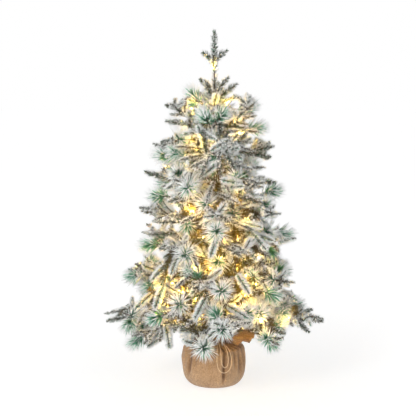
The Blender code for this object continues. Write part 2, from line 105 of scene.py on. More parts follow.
# Twigs: start as a share of the stem, length as a share of the stem, splay from it and roll out of its plane
TWIGS = (
    (0.26, 0.30, 52, -20),
    (0.34, 0.30, 50, 34),
    (0.43, 0.32, 46, -4),
    (0.52, 0.30, 44, -30),
    (0.61, 0.28, 42, 24),
    (0.70, 0.25, 42, -12),
    (0.79, 0.21, 38, 18),
    (0.87, 0.16, 36, -10),
)
INNER_TWIGS = ((0.10, 62 * MM, 58, 40), (0.15, 66 * MM, 50, -36), (0.21, 60 * MM, 62, 4))
LEAST_TWIG = 48 * MM
OUTER_MIX = {"spruce": 0.60, "fir": 0.26, "tuft": 0.08, "pine": 0.06}  # share of each kind among the twigs
SPRIGS_AT_LAMP = 2  # that catch its light
SPRIG_FOOT = 205 * MM
SPRIG_PITCH = 8 * MM
# Below this height the inner needles are golden brown: painted lamp glow and painted shade inside the tree
UPPER_PART = 560 * MM  # above it the inner needles are green too
WHORLS_FOOT = 690 * MM
# How low a twig may end in front of the sack, in front of its shoulder and in front of its neck and ear
LEAST_ENDS = (104 * MM, 138 * MM, 186 * MM)
SHOULDER_FROM, NECK_FROM, NECK_TO = -85 * MM, -10 * MM, 125 * MM
TIP_LENGTH = {"spruce": 66 * MM, "dusted": 62 * MM, "fir": 66 * MM, "pine": 40 * MM, "tuft": 52 * MM}

# Needles of each kind of tip: length and half width, needles for each millimetre of twig, share of the twig
# left bare, least and greatest angle from the twig, greenness as a place on the needles' tint ramp, and
# frosting at root, middle and point. The inner kind's place of nought is a golden brown of painted lamp glow
# and painted shade.
STYLES = {
    "inner": {
        "length": 16 * MM, "half_width": 1.0 * MM, "density": 1.8, "bare": 0.05, "spread": (40, 78),
        "green": 0.0, "frost": (-0.3, 0.02, 0.32),
    },
    "spruce": {
        "length": 11.5 * MM, "half_width": 1.0 * MM, "density": 3.0, "bare": 0.06, "spread": (44, 74),
        "green": 0.30, "frost": (-0.1, 0.48, 0.95),
    },
    "dusted": {
        "length": 15 * MM, "half_width": 1.0 * MM, "density": 3.2, "bare": 0.03, "spread": (42, 70),
        "green": 0.34, "frost": (-0.4, 0.32, 0.74),
    },
    "pine": {
        "length": 43 * MM, "half_width": 1.45 * MM, "density": 1.0, "bare": 0.60, "spread": (6, 100),
        "green": 0.95, "frost": (-0.60, 0.95, 1.30),
    },
    "tuft": {
        "length": 42 * MM, "half_width": 1.2 * MM, "density": 1.0, "bare": 0.35, "spread": (6, 56),
        "green": 0.90, "frost": (-0.45, 0.42, 0.95),
    },
    "fir": {
        "length": 16.5 * MM, "half_width": 1.35 * MM, "density": 3.2, "bare": 0.08, "spread": (46, 64),
        "green": 0.72, "frost": (0.50, 0.56, 1.30),
    },
}
BURSTS = {"pine": 98, "tuft": 96}  # needles of the kinds that stand out from one place

# Tips that show at the front: kind, sideways place and height of the point in millimetres, and the way it
# lies as seen from the front, in degrees from the right, or None where it points forwards
FRONT_TIPS = (
    ("pine", -66, 508, None), ("pine", 6, 397, None), ("pine", -74, 336, None), ("pine", 19, 242, None),
    ("pine", -90, 205, None), ("pine", 21, 140, None), ("pine", -27, 91, None), ("fir", -41, 665, 110),
    ("fir", 2, 632, -20), ("fir", -76, 644, 185), ("fir", 60, 612, 45), ("fir", 12, 572, 40),
    ("fir", 72, 512, 10), ("fir", 20, 528, 165), ("fir", -159, 272, 222), ("fir", -111, 285, 248),
    ("fir", 158, 207, -60), ("fir", 212, 218, -22), ("fir", 90, 235, -55), ("fir", -152, 197, 250),
    ("fir", -203, 194, 220), ("fir", -172, 96, 210), ("fir", -116, 92, -80), ("fir", 120, 480, 25),
    ("fir", 150, 372, -12), ("fir", 132, 350, -45), ("spruce", 96, 556, -8), ("spruce", 60, 470, -20),
    ("spruce", -150, 420, 175), ("spruce", 70, 330, -25), ("spruce", -40, 292, -70),
    ("spruce", -118, 175, 195), ("fir", 84, 172, -25), ("spruce", -70, 150, 220), ("fir", -50, 168, 240),
    ("spruce", -100, 470, 190), ("spruce", -20, 470, 250), ("fir", 45, 690, 20),
    ("spruce", -60, 560, 200), ("spruce", 100, 400, -15), ("fir", -128, 330, 195),
    ("spruce", -30, 690, 150), ("spruce", 30, 590, -15), ("fir", -10, 330, 250),
    ("spruce", -100, 250, 215), ("tuft", 150, 232, -10), ("tuft", -150, 170, 195), ("spruce", 64, 652, 5),
    ("spruce", -64, 648, 170), ("spruce", -88, 578, 190), ("spruce", 70, 575, 15), ("fir", 92, 632, 30),
    ("spruce", 40, 620, 160), ("fir", 118, 408, -5), ("spruce", -132, 357, 185),
    ("spruce", -132, 512, 180), ("spruce", 112, 650, 0), ("spruce", 104, 690, 12),
    ("spruce", 128, 560, 5), ("spruce", -100, 612, 175), ("spruce", 8, 558, 262),
    ("spruce", 38, 498, -65), ("fir", -8, 604, 205), ("spruce", -36, 535, 245), ("fir", -122, 505, 200),
    ("dusted", -112, 474, 190), ("dusted", -140, 352, 185), ("spruce", -84, 418, 200),
    ("dusted", 118, 470, -10), ("dusted", 140, 330, -30), ("dusted", 12, 640, 262),
    ("dusted", -20, 600, 280), ("dusted", 50, 560, -60), ("dusted", 78, 640, 15), ("spruce", 96, 622, -5),
    ("tuft", 18, 692, 60), ("tuft", -22, 686, 115),
)
# Tips at the tree's sides
SIDE_TIPS = (
    ("dusted", -120, 717, 165), ("dusted", -120, 677, 172), ("dusted", -132, 625, 180),
    ("dusted", -173, 550, 160), ("dusted", -186, 459, 165), ("dusted", -165, 391, 180),
    ("dusted", -215, 300, 175), ("dusted", -273, 167, 188), ("dusted", -228, 156, 200),
    ("dusted", -222, 206, 130), ("dusted", -178, 108, 215), ("dusted", 142, 613, 12),
    ("dusted", 140, 588, -10), ("dusted", 153, 522, -8), ("dusted", 150, 447, -5),
    ("dusted", 276, 166, -4), ("dusted", 248, 196, 28), ("dusted", 242, 139, -40),
    ("dusted", 180, 134, -12), ("dusted", 138, 110, -45), ("tuft", -52, 740, 125), ("tuft", 84, 710, 35),
    ("tuft", 106, 660, 10), ("tuft", -128, 592, 165), ("tuft", -143, 489, 175), ("tuft", 147, 500, 20),
    ("tuft", 176, 392, 0), ("tuft", 168, 294, 5), ("tuft", -165, 364, 178), ("tuft", -204, 284, 182),
    ("tuft", -206, 163, 200), ("tuft", -200, 115, 212),
)
# Tips at the back: kind, azimuth, and reach and height of the point
BACK_TIPS = (
    ("spruce", 92, 128, 642), ("fir", 72, 120, 668), ("dusted", 112, 122, 660), ("spruce", 84, 128, 612),
    ("tuft", 98, 96, 690), ("fir", 106, 134, 622), ("spruce", 66, 128, 630), ("dusted", 126, 126, 634),
)
# Lamps near the front of the tree: sideways place and height in millimetres, and brightness
FRONT_LAMPS = (
    (60, 645, 2.0), (-20, 614, 2.2), (46, 528, 1.8), (52, 470, 1.2), (-92, 457, 1.2), (-20, 430, 0.8),
    (86, 430, 0.8), (-44, 300, 1.8), (-104, 262, 1.8), (-138, 254, 1.5), (108, 260, 1.5), (-46, 224, 0.7),
    (-116, 198, 1.6), (50, 200, 2.0), (192, 172, 1.8), (120, 158, 2.0), (-60, 505, 0.7), (60, 372, 1.0),
    (110, 330, 0.8), (-150, 226, 0.8), (20, 330, 0.9), (-30, 380, 0.9), (80, 285, 0.9),
)
# Lamps round the tree's top: azimuth, radius and height in millimetres
TOP_LAMPS = ((250, 7, 806), (318, 36, 716), (212, 62, 706), (60, 24, 742), (130, 30, 700))
# How far the tree's tips reach from its axis, by height, in millimetres
TREE_OUTLINE = (
    (100, 150), (140, 225), (176, 277), (215, 240), (250, 216), (291, 222), (354, 190), (405, 186),
    (469, 182), (507, 168), (558, 170), (608, 148), (640, 132), (680, 122), (723, 118), (761, 76),
    (790, 52), (830, 34), (860, 36), (900, 12), (940, 4),
)

# The twine: routes as azimuth in degrees, radius and height in millimetres
TWINE_RADIUS = 1 * MM
OUTER_LOOP = (
    (-62, 19.8, 118), (-70, 25, 116.5), (-78, 40, 114), (-82, 56, 110.8), (-84, 70, 105.5),
    (-85, 79.5, 95), (-85.5, 83.6, 80), (-84.5, 84.8, 66), (-81, 84.9, 54.5), (-74, 84.8, 48.5),
    (-67, 84.8, 51), (-62, 84.9, 59), (-59.5, 84.6, 71), (-59, 83, 84), (-59.5, 78.5, 97),
    (-60, 69, 106.5), (-60.5, 56, 111), (-60.5, 40, 114), (-58, 25, 116.5), (-53, 19.8, 118),
)
INNER_LOOP = (
    (-64, 21, 121.5), (-70, 28, 120.5), (-75, 42, 117.8), (-77, 57, 114.5), (-78, 72, 107.5),
    (-78.5, 82, 96), (-78.5, 86.6, 81), (-77, 87.2, 69), (-72.5, 87.2, 62.5), (-68, 87.2, 67.5),
    (-66.2, 86.8, 79), (-65.8, 82, 95), (-66, 72, 107.5), (-66, 57, 114.5), (-65, 42, 117.8),
    (-60, 28, 120.5), (-53, 21, 121.5),
)
KNOT_AZIMUTH = -60
NECK_HEIGHT = 116.5 * MM

# The sack: its outline as radius and height, and its mouth's edge as azimuth, reach and height, in
# millimetres
SACK_OUTLINE = (
    (0.5, 1.2), (25, 1.0), (50, 0.8), (66, 5), (76, 16), (81, 34), (82, 58), (80.5, 82), (76, 97),
    (66, 106), (46, 109.5), (24, 110.8), (16.6, 112), (15.2, 116.5), (16.4, 121.5),
)
MOUTH = (
    (334, 112, 131), (351, 118, 158), (12, 66, 115), (150, 62, 115), (190, 84, 133), (228, 42, 137),
    (262, 56, 142), (305, 45, 138),
)
EAR = (308, 360)  # azimuths between which the mouth stands out as a pleated ear
EAR_PLEAT = 3.5 * MM
# Where the ear's lower side sinks to the shoulder: azimuth, half width and depth
EAR_HOLLOW = (319, 9, 22 * MM)
CLOTH_THICKNESS = 1.1 * MM
CLOTH_ROUND = 515 * MM  # the cloth tube round the pot, before it is gathered
SETTLING_FRAMES = 26
SETTLING_SCALE = 10
LARGEST_SAG = 14 * MM
# What the cloth lies on as it settles: the pot, filled out to a round belly
FILLING = (
    (0, 1.5), (48, 1.5), (62, 6), (72, 17), (76.5, 34), (77.5, 58), (76.5, 80), (75, 92), (72, 98.5),
    (58, 102), (30, 104), (0, 104),
)
CLOTH_SETTINGS = {
    "quality": 7, "mass": 0.3, "tension_stiffness": 25, "compression_stiffness": 8, "shear_stiffness": 8,
    "bending_stiffness": 3, "tension_damping": 15, "compression_damping": 15, "shear_damping": 15,
    "bending_damping": 2,
}
THREAD_PITCH = 1.6  # millimetres, the unit of the thread coordinates
# Long folds: azimuth and half width in degrees, depth in millimetres, and how low they start, as a share of
# the cloth
LONG_FOLDS = (
    (214, 8.0, 9.0, 0.36), (199, 7.0, 5.0, 0.40), (288, 4.5, 10.0, 0.29), (301, 8.0, 6.0, 0.46),
    (314, 8.0, 8.0, 0.40), (329, 9.0, 8.0, 0.36), (345, 8.0, 6.0, 0.40), (266, 10.0, 3.5, 0.56),
    (240, 10.0, 4.5, 0.50), (227, 7.0, 4.0, 0.46), (28, 10.0, 8.0, 0.34), (52, 8.0, 5.0, 0.42),
    (76, 9.0, 8.0, 0.29), (118, 10.0, 6.5, 0.36), (158, 10.0, 8.0, 0.31), (182, 8.0, 5.0, 0.40),
)
POT_CLEARANCE = 74.5 * MM  # the folds stay outside the pot, up to its rim
RIM_HEIGHT = 100 * MM
# The fold depth against which the painted shade in the cloth's creases is measured
DEEPEST_FOLD = 9 * MM
FOLD_DRIFT = 16  # degrees that the folds are drawn towards the knot, on their way up
FOLD_FADE = 0.16  # the share of the cloth over which a long fold deepens
NECK_PLEATS = 26
FRILL_ROWS = 20


# Small geometry


def polar(azimuth, radius, height):
    angle = math.radians(azimuth)
    return Vector((radius * math.cos(angle), radius * math.sin(angle), height))


def smooth_route(points, step):
    """Points about a step apart on a Catmull-Rom curve through the route's own points."""
    points = [Vector(p) for p in points]
    padded = [2 * points[0] - points[1], *points, 2 * points[-1] - points[-2]]
    fine = []
    for a, b, c, d in zip(padded, padded[1:], padded[2:], padded[3:]):
        count = max(2, round((c - b).length / step))
        for k in range(count):
            t = k / count
            square, cube = 2 * a - 5 * b + 4 * c - d, 3 * b - a - 3 * c + d
            fine.append(0.5 * (2 * b + (c - a) * t + square * t**2 + cube * t**3))
    fine.append(points[-1])
    return fine


def route_length(points):
    return sum((b - a).length for a, b in zip(points, points[1:]))


def unit(vectors):
    return vectors / np.maximum(np.linalg.norm(vectors, axis=-1, keepdims=True), 1e-12)


def across(directions):
    """Two unit vectors at right angles to each direction and to each other."""
    helper = np.where(np.abs(directions[:, 2:3]) < 0.9, (0.0, 0.0, 1.0), (1.0, 0.0, 0.0))
    first = unit(np.cross(directions, helper))
    return first, np.cross(directions, first)


def tube_mesh(route, radii, sides, lobes=0, twist=0.0):
    """Points and triangles of a closed tube. Lobes and a twist, in radians a metre, give a rope's strands."""
    route = np.array(route, float)
    radii = np.broadcast_to(np.array(radii, float), len(route))
    heading = unit(np.gradient(route, axis=0))
    normal = across(heading[:1])[0][0]
    along = np.concatenate([[0], np.cumsum(np.linalg.norm(np.diff(route, axis=0), axis=1))])
    turn = np.arange(sides) * math.tau / sides
    rings = []
    for k, (point, direction) in enumerate(zip(route, heading)):
        normal = unit(normal - direction * (normal @ direction))
        other = np.cross(direction, normal)
        strand = 1.0
        if lobes:
            strand = 0.72 + 0.28 * np.abs(np.cos((turn * lobes - twist * along[k]) / 2))
        ring = radii[k] * strand
        rings.append(point + np.outer(np.cos(turn) * ring, normal) + np.outer(np.sin(turn) * ring, other))
    return np.concatenate([*rings, route[:1], route[-1:]]), closed_skin(len(rings), sides)


def lathe(outline, sides):
    """Points and triangles of a turned solid about Z, from (radius, height) points that start and end on the
    axis."""
    turn = np.arange(sides) * math.tau / sides
    rings = [np.stack([r * np.cos(turn), r * np.sin(turn), np.full(sides, z)], 1) for r, z in outline[1:-1]]
    poles = np.array([(0, 0, outline[0][1]), (0, 0, outline[-1][1])])
    return np.concatenate([*rings, poles]), closed_skin(len(rings), sides)


def closed_skin(rings, sides):
    """Triangles over rings of points, closed by the two points after them, one at each end."""
    triangles = []
    for k in range(rings - 1):
        for i in range(sides):
            a, b = k * sides + i, k * sides + (i + 1) % sides
            triangles += [(a, b, b + sides), (a, b + sides, a + sides)]
    count, last = rings * sides, (rings - 1) * sides
    for i in range(sides):
        j = (i + 1) % sides
        triangles += [(count, j, i), (count + 1, last + i, last + j)]
    return np.array(triangles)


def new_object(name, data):
    made = bpy.data.objects.new(name, data)
    bpy.context.scene.collection.objects.link(made)
    return made


class Gather:
    """Collects shapes for one mesh, with a material slot and two shading values, frost and tone, for each."""

    def __init__(self):
        self.points, self.triangles, self.slots, self.frost, self.tone = [], [], [], [], []
        self.count = 0

    def add(self, points, triangles, slot=0, frost=0.0, tone=0.5):
        self.points.append(points)
        self.triangles.append(triangles + self.count)
        self.slots.append(np.full(len(triangles), slot))
        self.frost.append(np.broadcast_to(frost, len(points)))
        self.tone.append(np.broadcast_to(tone, len(points)))
        self.count += len(points)

    def make(self, name, materials, smooth=True):
        points, triangles = np.concatenate(self.points), np.concatenate(self.triangles)
        mesh = bpy.data.meshes.new(name)
        mesh.vertices.add(len(points))
        mesh.vertices.foreach_set("co", points.astype(np.float32).ravel())
        mesh.loops.add(triangles.size)
        mesh.loops.foreach_set("vertex_index", triangles.astype(np.int32).ravel())
        mesh.polygons.add(len(triangles))
        mesh.polygons.foreach_set("loop_start", np.arange(0, triangles.size, 3, dtype=np.int32))
        mesh.polygons.foreach_set("material_index", np.concatenate(self.slots).astype(np.int32))
        mesh.polygons.foreach_set("use_smooth", np.full(len(triangles), smooth))
        mesh.update(calc_edges=True)
        for label, values in (("frost", self.frost), ("tone", self.tone)):
            attribute = mesh.attributes.new(label, "FLOAT", "POINT")
            attribute.data.foreach_set("value", np.concatenate(values).astype(np.float32))
        for made in materials:
            mesh.materials.append(made)
        return new_object(name, mesh)


# Materials


class Nodes:
    """A material's node tree, with short ways to add and join nodes."""

    def __init__(self, name, roughness, metallic=0.0):
        self.material = bpy.data.materials.new(name)
        self.material.use_nodes = True
        self.tree = self.material.node_tree
        self.shader = self.tree.nodes["Principled BSDF"]
        self.shader.inputs["Roughness"].default_value = roughness
        self.shader.inputs["Metallic"].default_value = metallic

    def add(self, kind, **settings):
        node = self.tree.nodes.new("ShaderNode" + kind)
        for key, value in settings.items():
            if key in node.inputs:
                node.inputs[key].default_value = value
            else:
                setattr(node, key, value)
        return node

    def join(self, output, target):
        self.tree.links.new(output, target)

    def noise(self, scale, detail=3.0, vector=None):
        node = self.add("TexNoise")
        node.inputs["Scale"].default_value = scale
        node.inputs["Detail"].default_value = detail
        if vector is None:
            vector = self.add("TexCoord").outputs["Object"]
        self.join(vector, node.inputs["Vector"])
        return node.outputs["Fac"]

    def value(self, name):
        return self.add("Attribute", attribute_name=name).outputs["Fac"]

    def math(self, operation, a, b):
        node = self.add("Math", operation=operation)
        for socket, value in zip(node.inputs, (a, b)):
            if isinstance(value, (int, float)):
                socket.default_value = value
            else:
                self.join(value, socket)
        return node.outputs[0]

    def swing(self, noise, amount):
        """A noise that swings about nought."""
        return self.math("MULTIPLY", self.math("SUBTRACT", noise, 0.5), amount)

    def ramp(self, factor, *stops):
        node = self.add("ValToRGB")
        elements = node.color_ramp.elements
        while len(elements) < len(stops):
            elements.new(0.5)
        for element, (position, colour) in zip(elements, stops):
            element.position = position
            element.color = (*colour, 1.0)
        self.join(factor, node.inputs["Fac"])
        return node.outputs["Color"]

    def mix(self, factor, a, b):
        node = self.add("Mix", data_type="RGBA")
        self.join(factor, node.inputs["Factor"])
        for socket, value in ((node.inputs[6], a), (node.inputs[7], b)):
            if isinstance(value, tuple):
                socket.default_value = (*value, 1.0)
            else:
                self.join(value, socket)
        return node.outputs[2]

    def multiply(self, a, b):
        node = self.add("Mix", data_type="RGBA", blend_type="MULTIPLY")
        node.inputs["Factor"].default_value = 1.0
        self.join(a, node.inputs[6])
        self.join(b, node.inputs[7])
        return node.outputs[2]

    def colour(self, output):
        self.join(output, self.shader.inputs["Base Color"])

    def bump(self, height, strength, distance):
        node = self.add("Bump")
        node.inputs["Strength"].default_value = strength
        node.inputs["Distance"].default_value = distance
        self.join(height, node.inputs["Height"])
        self.join(node.outputs["Normal"], self.shader.inputs["Normal"])


def needle_material():
    """Green film or moulded needles, flocked white towards their ends. The inner needles are golden brown,
    which is painted lamp glow and painted shade inside the tree.
    """
    nodes = Nodes("needles", 0.68)
    speckle = nodes.noise(420.0, 2.0)
    clump = nodes.noise(28.0, 2.0)
    tone = nodes.math("ADD", nodes.value("tone"), nodes.swing(clump, 0.25))
    green = nodes.ramp(
        tone,
        # golden brown of the inner needles: painted lamp glow and painted shade inside the tree
        (0.0, (0.170, 0.130, 0.040)),
        (0.30, (0.055, 0.060, 0.038)),
        (0.60, (0.110, 0.280, 0.170)),
        (1.0, (0.160, 0.500, 0.300)),
    )
    cover = nodes.math("ADD", nodes.value("frost"), nodes.swing(speckle, 0.9))
    cover = nodes.ramp(cover, (0.36, (0, 0, 0)), (0.60, (1, 1, 1)))
    nodes.colour(nodes.mix(cover, green, (0.94, 0.95, 0.93)))
    nodes.bump(speckle, 0.5, 0.4 * MM)
    return nodes.material


def twig_material():
    """Brown film over the wires, dusted with frost."""
    nodes = Nodes("twig_film", 0.75)
    grain = nodes.noise(300.0, 4.0)
    bark = nodes.ramp(
        grain,
        (0.35, (0.055, 0.036, 0.022)),
        (0.6, (0.13, 0.085, 0.055)),
        (0.72, (0.55, 0.53, 0.5)),
    )
    nodes.colour(bark)
    nodes.bump(grain, 0.6, 0.4 * MM)
    return nodes.material


def cone_material():
    nodes = Nodes("cone_scale", 0.8)
    grain = nodes.noise(260.0, 4.0)
    wood = nodes.ramp(grain, (0.3, (0.075, 0.042, 0.024)), (0.7, (0.20, 0.125, 0.075)))
    cover = nodes.math("ADD", nodes.value("frost"), nodes.swing(grain, 0.9))
    cover = nodes.ramp(cover, (0.35, (0, 0, 0)), (0.75, (1, 1, 1)))
    nodes.colour(nodes.mix(cover, wood, (0.92, 0.92, 0.91)))
    nodes.bump(grain, 0.6, 0.5 * MM)
    return nodes.material


def burlap_material():
    """Plain-woven jute: warp and weft that pass over and under each other, with thick and thin yarns."""
    nodes = Nodes("burlap_weave", 0.92)
    cloth = nodes.add("UVMap", uv_map="threads").outputs["UV"]
    weave = nodes.add("TexChecker")
    weave.inputs["Scale"].default_value = 1 / THREAD_PITCH
    nodes.join(cloth, weave.inputs["Vector"])
    yarns = []
    for direction in ("X", "Y"):
        wave = nodes.add("TexWave", bands_direction=direction)
        wave.inputs["Scale"].default_value = math.pi / 20 / THREAD_PITCH * 2
        wave.inputs["Distortion"].default_value = 0.5
        wave.inputs["Detail Scale"].default_value = 0.2
        nodes.join(cloth, wave.inputs["Vector"])
        yarns.append(wave.outputs["Fac"])
    over = nodes.add("Mix", data_type="FLOAT")
    nodes.join(weave.outputs["Fac"], over.inputs["Factor"])
    nodes.join(yarns[0], over.inputs[2])
    nodes.join(yarns[1], over.inputs[3])
    slub = nodes.swing(nodes.noise(330.0, 4.0), 1.1)
    cover = nodes.math("ADD", nodes.math("MULTIPLY", over.outputs[0], 0.6), slub)
    jute = nodes.ramp(
        cover,
        (0.0, (0.23, 0.13, 0.062)),
        (0.35, (0.50, 0.305, 0.158)),
        (0.8, (0.82, 0.54, 0.305)),
    )
    patch = nodes.ramp(nodes.noise(34.0, 4.0), (0.35, (0.80, 0.77, 0.74)), (0.65, (1.0, 1.0, 1.0)))
    # Painted shade: the jute's colour darkens towards brown with each point's fold depth, in the long folds and in
    # the pleats at the neck and the ear.
    painted_fold_shade = nodes.ramp(nodes.value("fold"), (0.05, (1.0, 1.0, 1.0)), (0.85, (0.40, 0.32, 0.26)))
    nodes.colour(nodes.multiply(nodes.multiply(jute, patch), painted_fold_shade))
    nodes.shader.inputs["Sheen Weight"].default_value = 0.2
    nodes.shader.inputs["Sheen Roughness"].default_value = 0.6
    nodes.bump(cover, 0.8, 0.5 * MM)
    return nodes.material


def twine_material():
    nodes = Nodes("jute_twine", 0.9)
    fibre = nodes.noise(700.0, 3.0)
    nodes.colour(nodes.ramp(fibre, (0.3, (0.58, 0.40, 0.23)), (0.7, (0.92, 0.72, 0.48))))
    nodes.bump(fibre, 0.7, 0.3 * MM)
    return nodes.material


def grained_material(name, dark, light, roughness, scale, depth, metallic=0.0):
    """A solid finish with a fine grain that shifts its colour, roughness and surface a little."""
    nodes = Nodes(name, roughness, metallic)
    grain = nodes.noise(scale, 5.0)
    nodes.colour(nodes.ramp(grain, (0.3, dark), (0.7, light)))
    uneven = nodes.math("ADD", nodes.math("MULTIPLY", grain, 0.25), roughness - 0.12)
    nodes.join(uneven, nodes.shader.inputs["Roughness"])
    nodes.bump(grain, 0.35, depth)
    return nodes.material


def lamp_material():
    """A lit warm-white lens, a little brighter in places."""
    nodes = Nodes("lit_lens", 0.2)
    glow = nodes.ramp(nodes.noise(90.0, 1.0), (0.3, (1.0, 0.66, 0.22)), (0.7, (1.0, 0.78, 0.36)))
    nodes.colour(glow)
    nodes.join(glow, nodes.shader.inputs["Emission Color"])
    nodes.shader.inputs["Emission Strength"].default_value = 4.0
    return nodes.material


# Stage


def add_camera():
    data = bpy.data.cameras.new("camera")
    data.lens = LENS
    camera = new_object("camera", data)
    camera.location = VIEW_FROM
    camera.rotation_euler = (AIM - VIEW_FROM).to_track_quat("-Z", "Y").to_euler()
    bpy.context.scene.camera = camera


def add_area_light(name, place, size, power):
    data = bpy.data.lights.new(name, "AREA")
    data.size = size
    data.energy = power
    light = new_object(name, data)
    light.location = place
    light.rotation_euler = (Vector((0, 0, 0.45)) - Vector(place)).to_track_quat("-Z", "Y").to_euler()


def add_backdrop():
    """An even white all round, which lights the scene less than the camera sees it."""
    world = bpy.data.worlds.new("studio")
    world.use_nodes = True
    tree = world.node_tree
    backdrop = tree.nodes["Background"]
    backdrop.inputs["Color"].default_value = (1, 1, 1, 1)
    rays = tree.nodes.new("ShaderNodeLightPath")
    strength = tree.nodes.new("ShaderNodeMapRange")
    strength.inputs["To Min"].default_value = AMBIENT
    tree.links.new(rays.outputs["Is Camera Ray"], strength.inputs["Value"])
    tree.links.new(strength.outputs["Result"], backdrop.inputs["Strength"])
    bpy.context.scene.world = world


def floor_material():
    """A white floor that glows just enough to pass for the backdrop away from the sack's shadow."""
    white = Nodes("white_floor", 0.9)
    white.shader.inputs["Base Color"].default_value = (FLOOR_ALBEDO, FLOOR_ALBEDO, FLOOR_ALBEDO, 1)
    white.shader.inputs["Specular IOR Level"].default_value = 0.1
    white.shader.inputs["Emission Color"].default_value = (1, 1, 1, 1)
    distance = white.add("VectorMath", operation="LENGTH")
    white.join(white.add("TexCoord").outputs["Object"], distance.inputs[0])
    brightness = white.add("MapRange", interpolation_type="SMOOTHSTEP")
    white.join(distance.outputs["Value"], brightness.inputs["Value"])
    brightness.inputs["From Min"].default_value = 0.1
    brightness.inputs["From Max"].default_value = 1.1
    brightness.inputs["To Min"].default_value = 0.99 - FLOOR_ALBEDO * (AMBIENT + KEY_ON_FLOOR)
    brightness.inputs["To Max"].default_value = 0.99 - FLOOR_ALBEDO * AMBIENT
    white.join(brightness.outputs["Result"], white.shader.inputs["Emission Strength"])
    return white.material


def add_floor():
    mesh = bpy.data.meshes.new("floor")
    half = 30.0
    corners = [(-half, -half, 0), (half, -half, 0), (half, half, 0), (-half, half, 0)]
    mesh.from_pydata(corners, [], [(0, 1, 2, 3)])
    floor = new_object("floor", mesh)
    mesh.materials.append(floor_material())


def add_stage():
    bpy.context.scene.view_settings.view_transform = "Standard"
    add_backdrop()
    add_floor()
    add_area_light("key", (-1.5, -2.4, 1.7), 0.9, 51)
    add_area_light("fill", (2.2, -1.8, 1.0), 1.4, 16)


# Twine


def twine(name, route, materials, step=0.9 * MM):
    """A laid twine of three strands along a route, and its centreline."""
    line = smooth_route(route, step)
    shape = Gather()
    points, triangles = tube_mesh(line, TWINE_RADIUS * 1.06, 12, lobes=3, twist=900.0)
    shape.add(points, triangles)
    return shape.make(name, materials), line


def add_twine(material):
    for name, route in (("twine_loop_outer", OUTER_LOOP), ("twine_loop_inner", INNER_LOOP)):
        points = [polar(azimuth, radius * MM, height * MM) for azimuth, radius, height in route]
        loop, line = twine(name.replace("twine_", "jute_"), points, [material])
        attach(loop, "stand")
        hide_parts(name)
    turns, per_turn, pitch = 3, 24, 2.1 * MM
    points = []
    for i in range(turns * per_turn + 1):
        turn = i / per_turn
        points.append(polar(KNOT_AZIMUTH + 360 * turn, 17.25 * MM, NECK_HEIGHT + pitch * (turn - turns / 2)))
    tie, _ = twine("jute_tie", points, [material])
    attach(tie, "stand")
    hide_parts("twine_tie")
    add_knot(material)


def add_knot(material):
    """The overhand knot of the bow, in front of the tie."""
    centre = polar(KNOT_AZIMUTH + 2, 20.5 * MM, NECK_HEIGHT + 2.5 * MM)
    out = polar(KNOT_AZIMUTH, 1, 0)
    side = polar(KNOT_AZIMUTH + 90, 1, 0)
    up = Vector((0, 0, 1))
    points = []
    for i in range(25):
        t = math.tau * i / 24
        wide = math.sin(t) + 2 * math.sin(2 * t)
        high = math.cos(t) - 2 * math.cos(2 * t)
        deep = -math.sin(3 * t)
        points.append(centre + (side * wide + up * high * 0.8) * 1.25 * MM + out * deep * 1.3 * MM)
    knot, _ = twine("jute_knot", points, [material])
    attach(knot, "stand")


# Foliage


def clear_of_cones(starts, reaches):
    """Which needles leave the cones free: those that don't hang before one, on its outer side."""
    kept = np.full(len(starts), True)
    for low, high in CONE_BOXES:
        centre = np.array((low + high) / 2)
        outward = unit(unit(centre * (1, 1, 0)) + (0, -0.5, 0))
        for share in (0.2, 0.6, 1.0):
            gap = starts + reaches * share - centre
            ahead = np.clip(gap @ outward, 0, 60 * MM)
            beside = np.linalg.norm(gap - np.outer(ahead, outward), axis=1)
            kept &= beside > CONE_CLEARANCE
    return kept


def clear_of_path(starts, reaches):
    """Which needles leave the battery cover free to slide."""
    kept = np.full(len(starts), True)
    for share in (0.0, 0.35, 0.7, 1.0):
        spots = starts + reaches * share
        beside = (spots < np.array(PATH_LOW) - 2 * MM) | (spots > np.array(PATH_HIGH) + 2 * MM)
        kept &= beside.any(axis=1)
    return kept


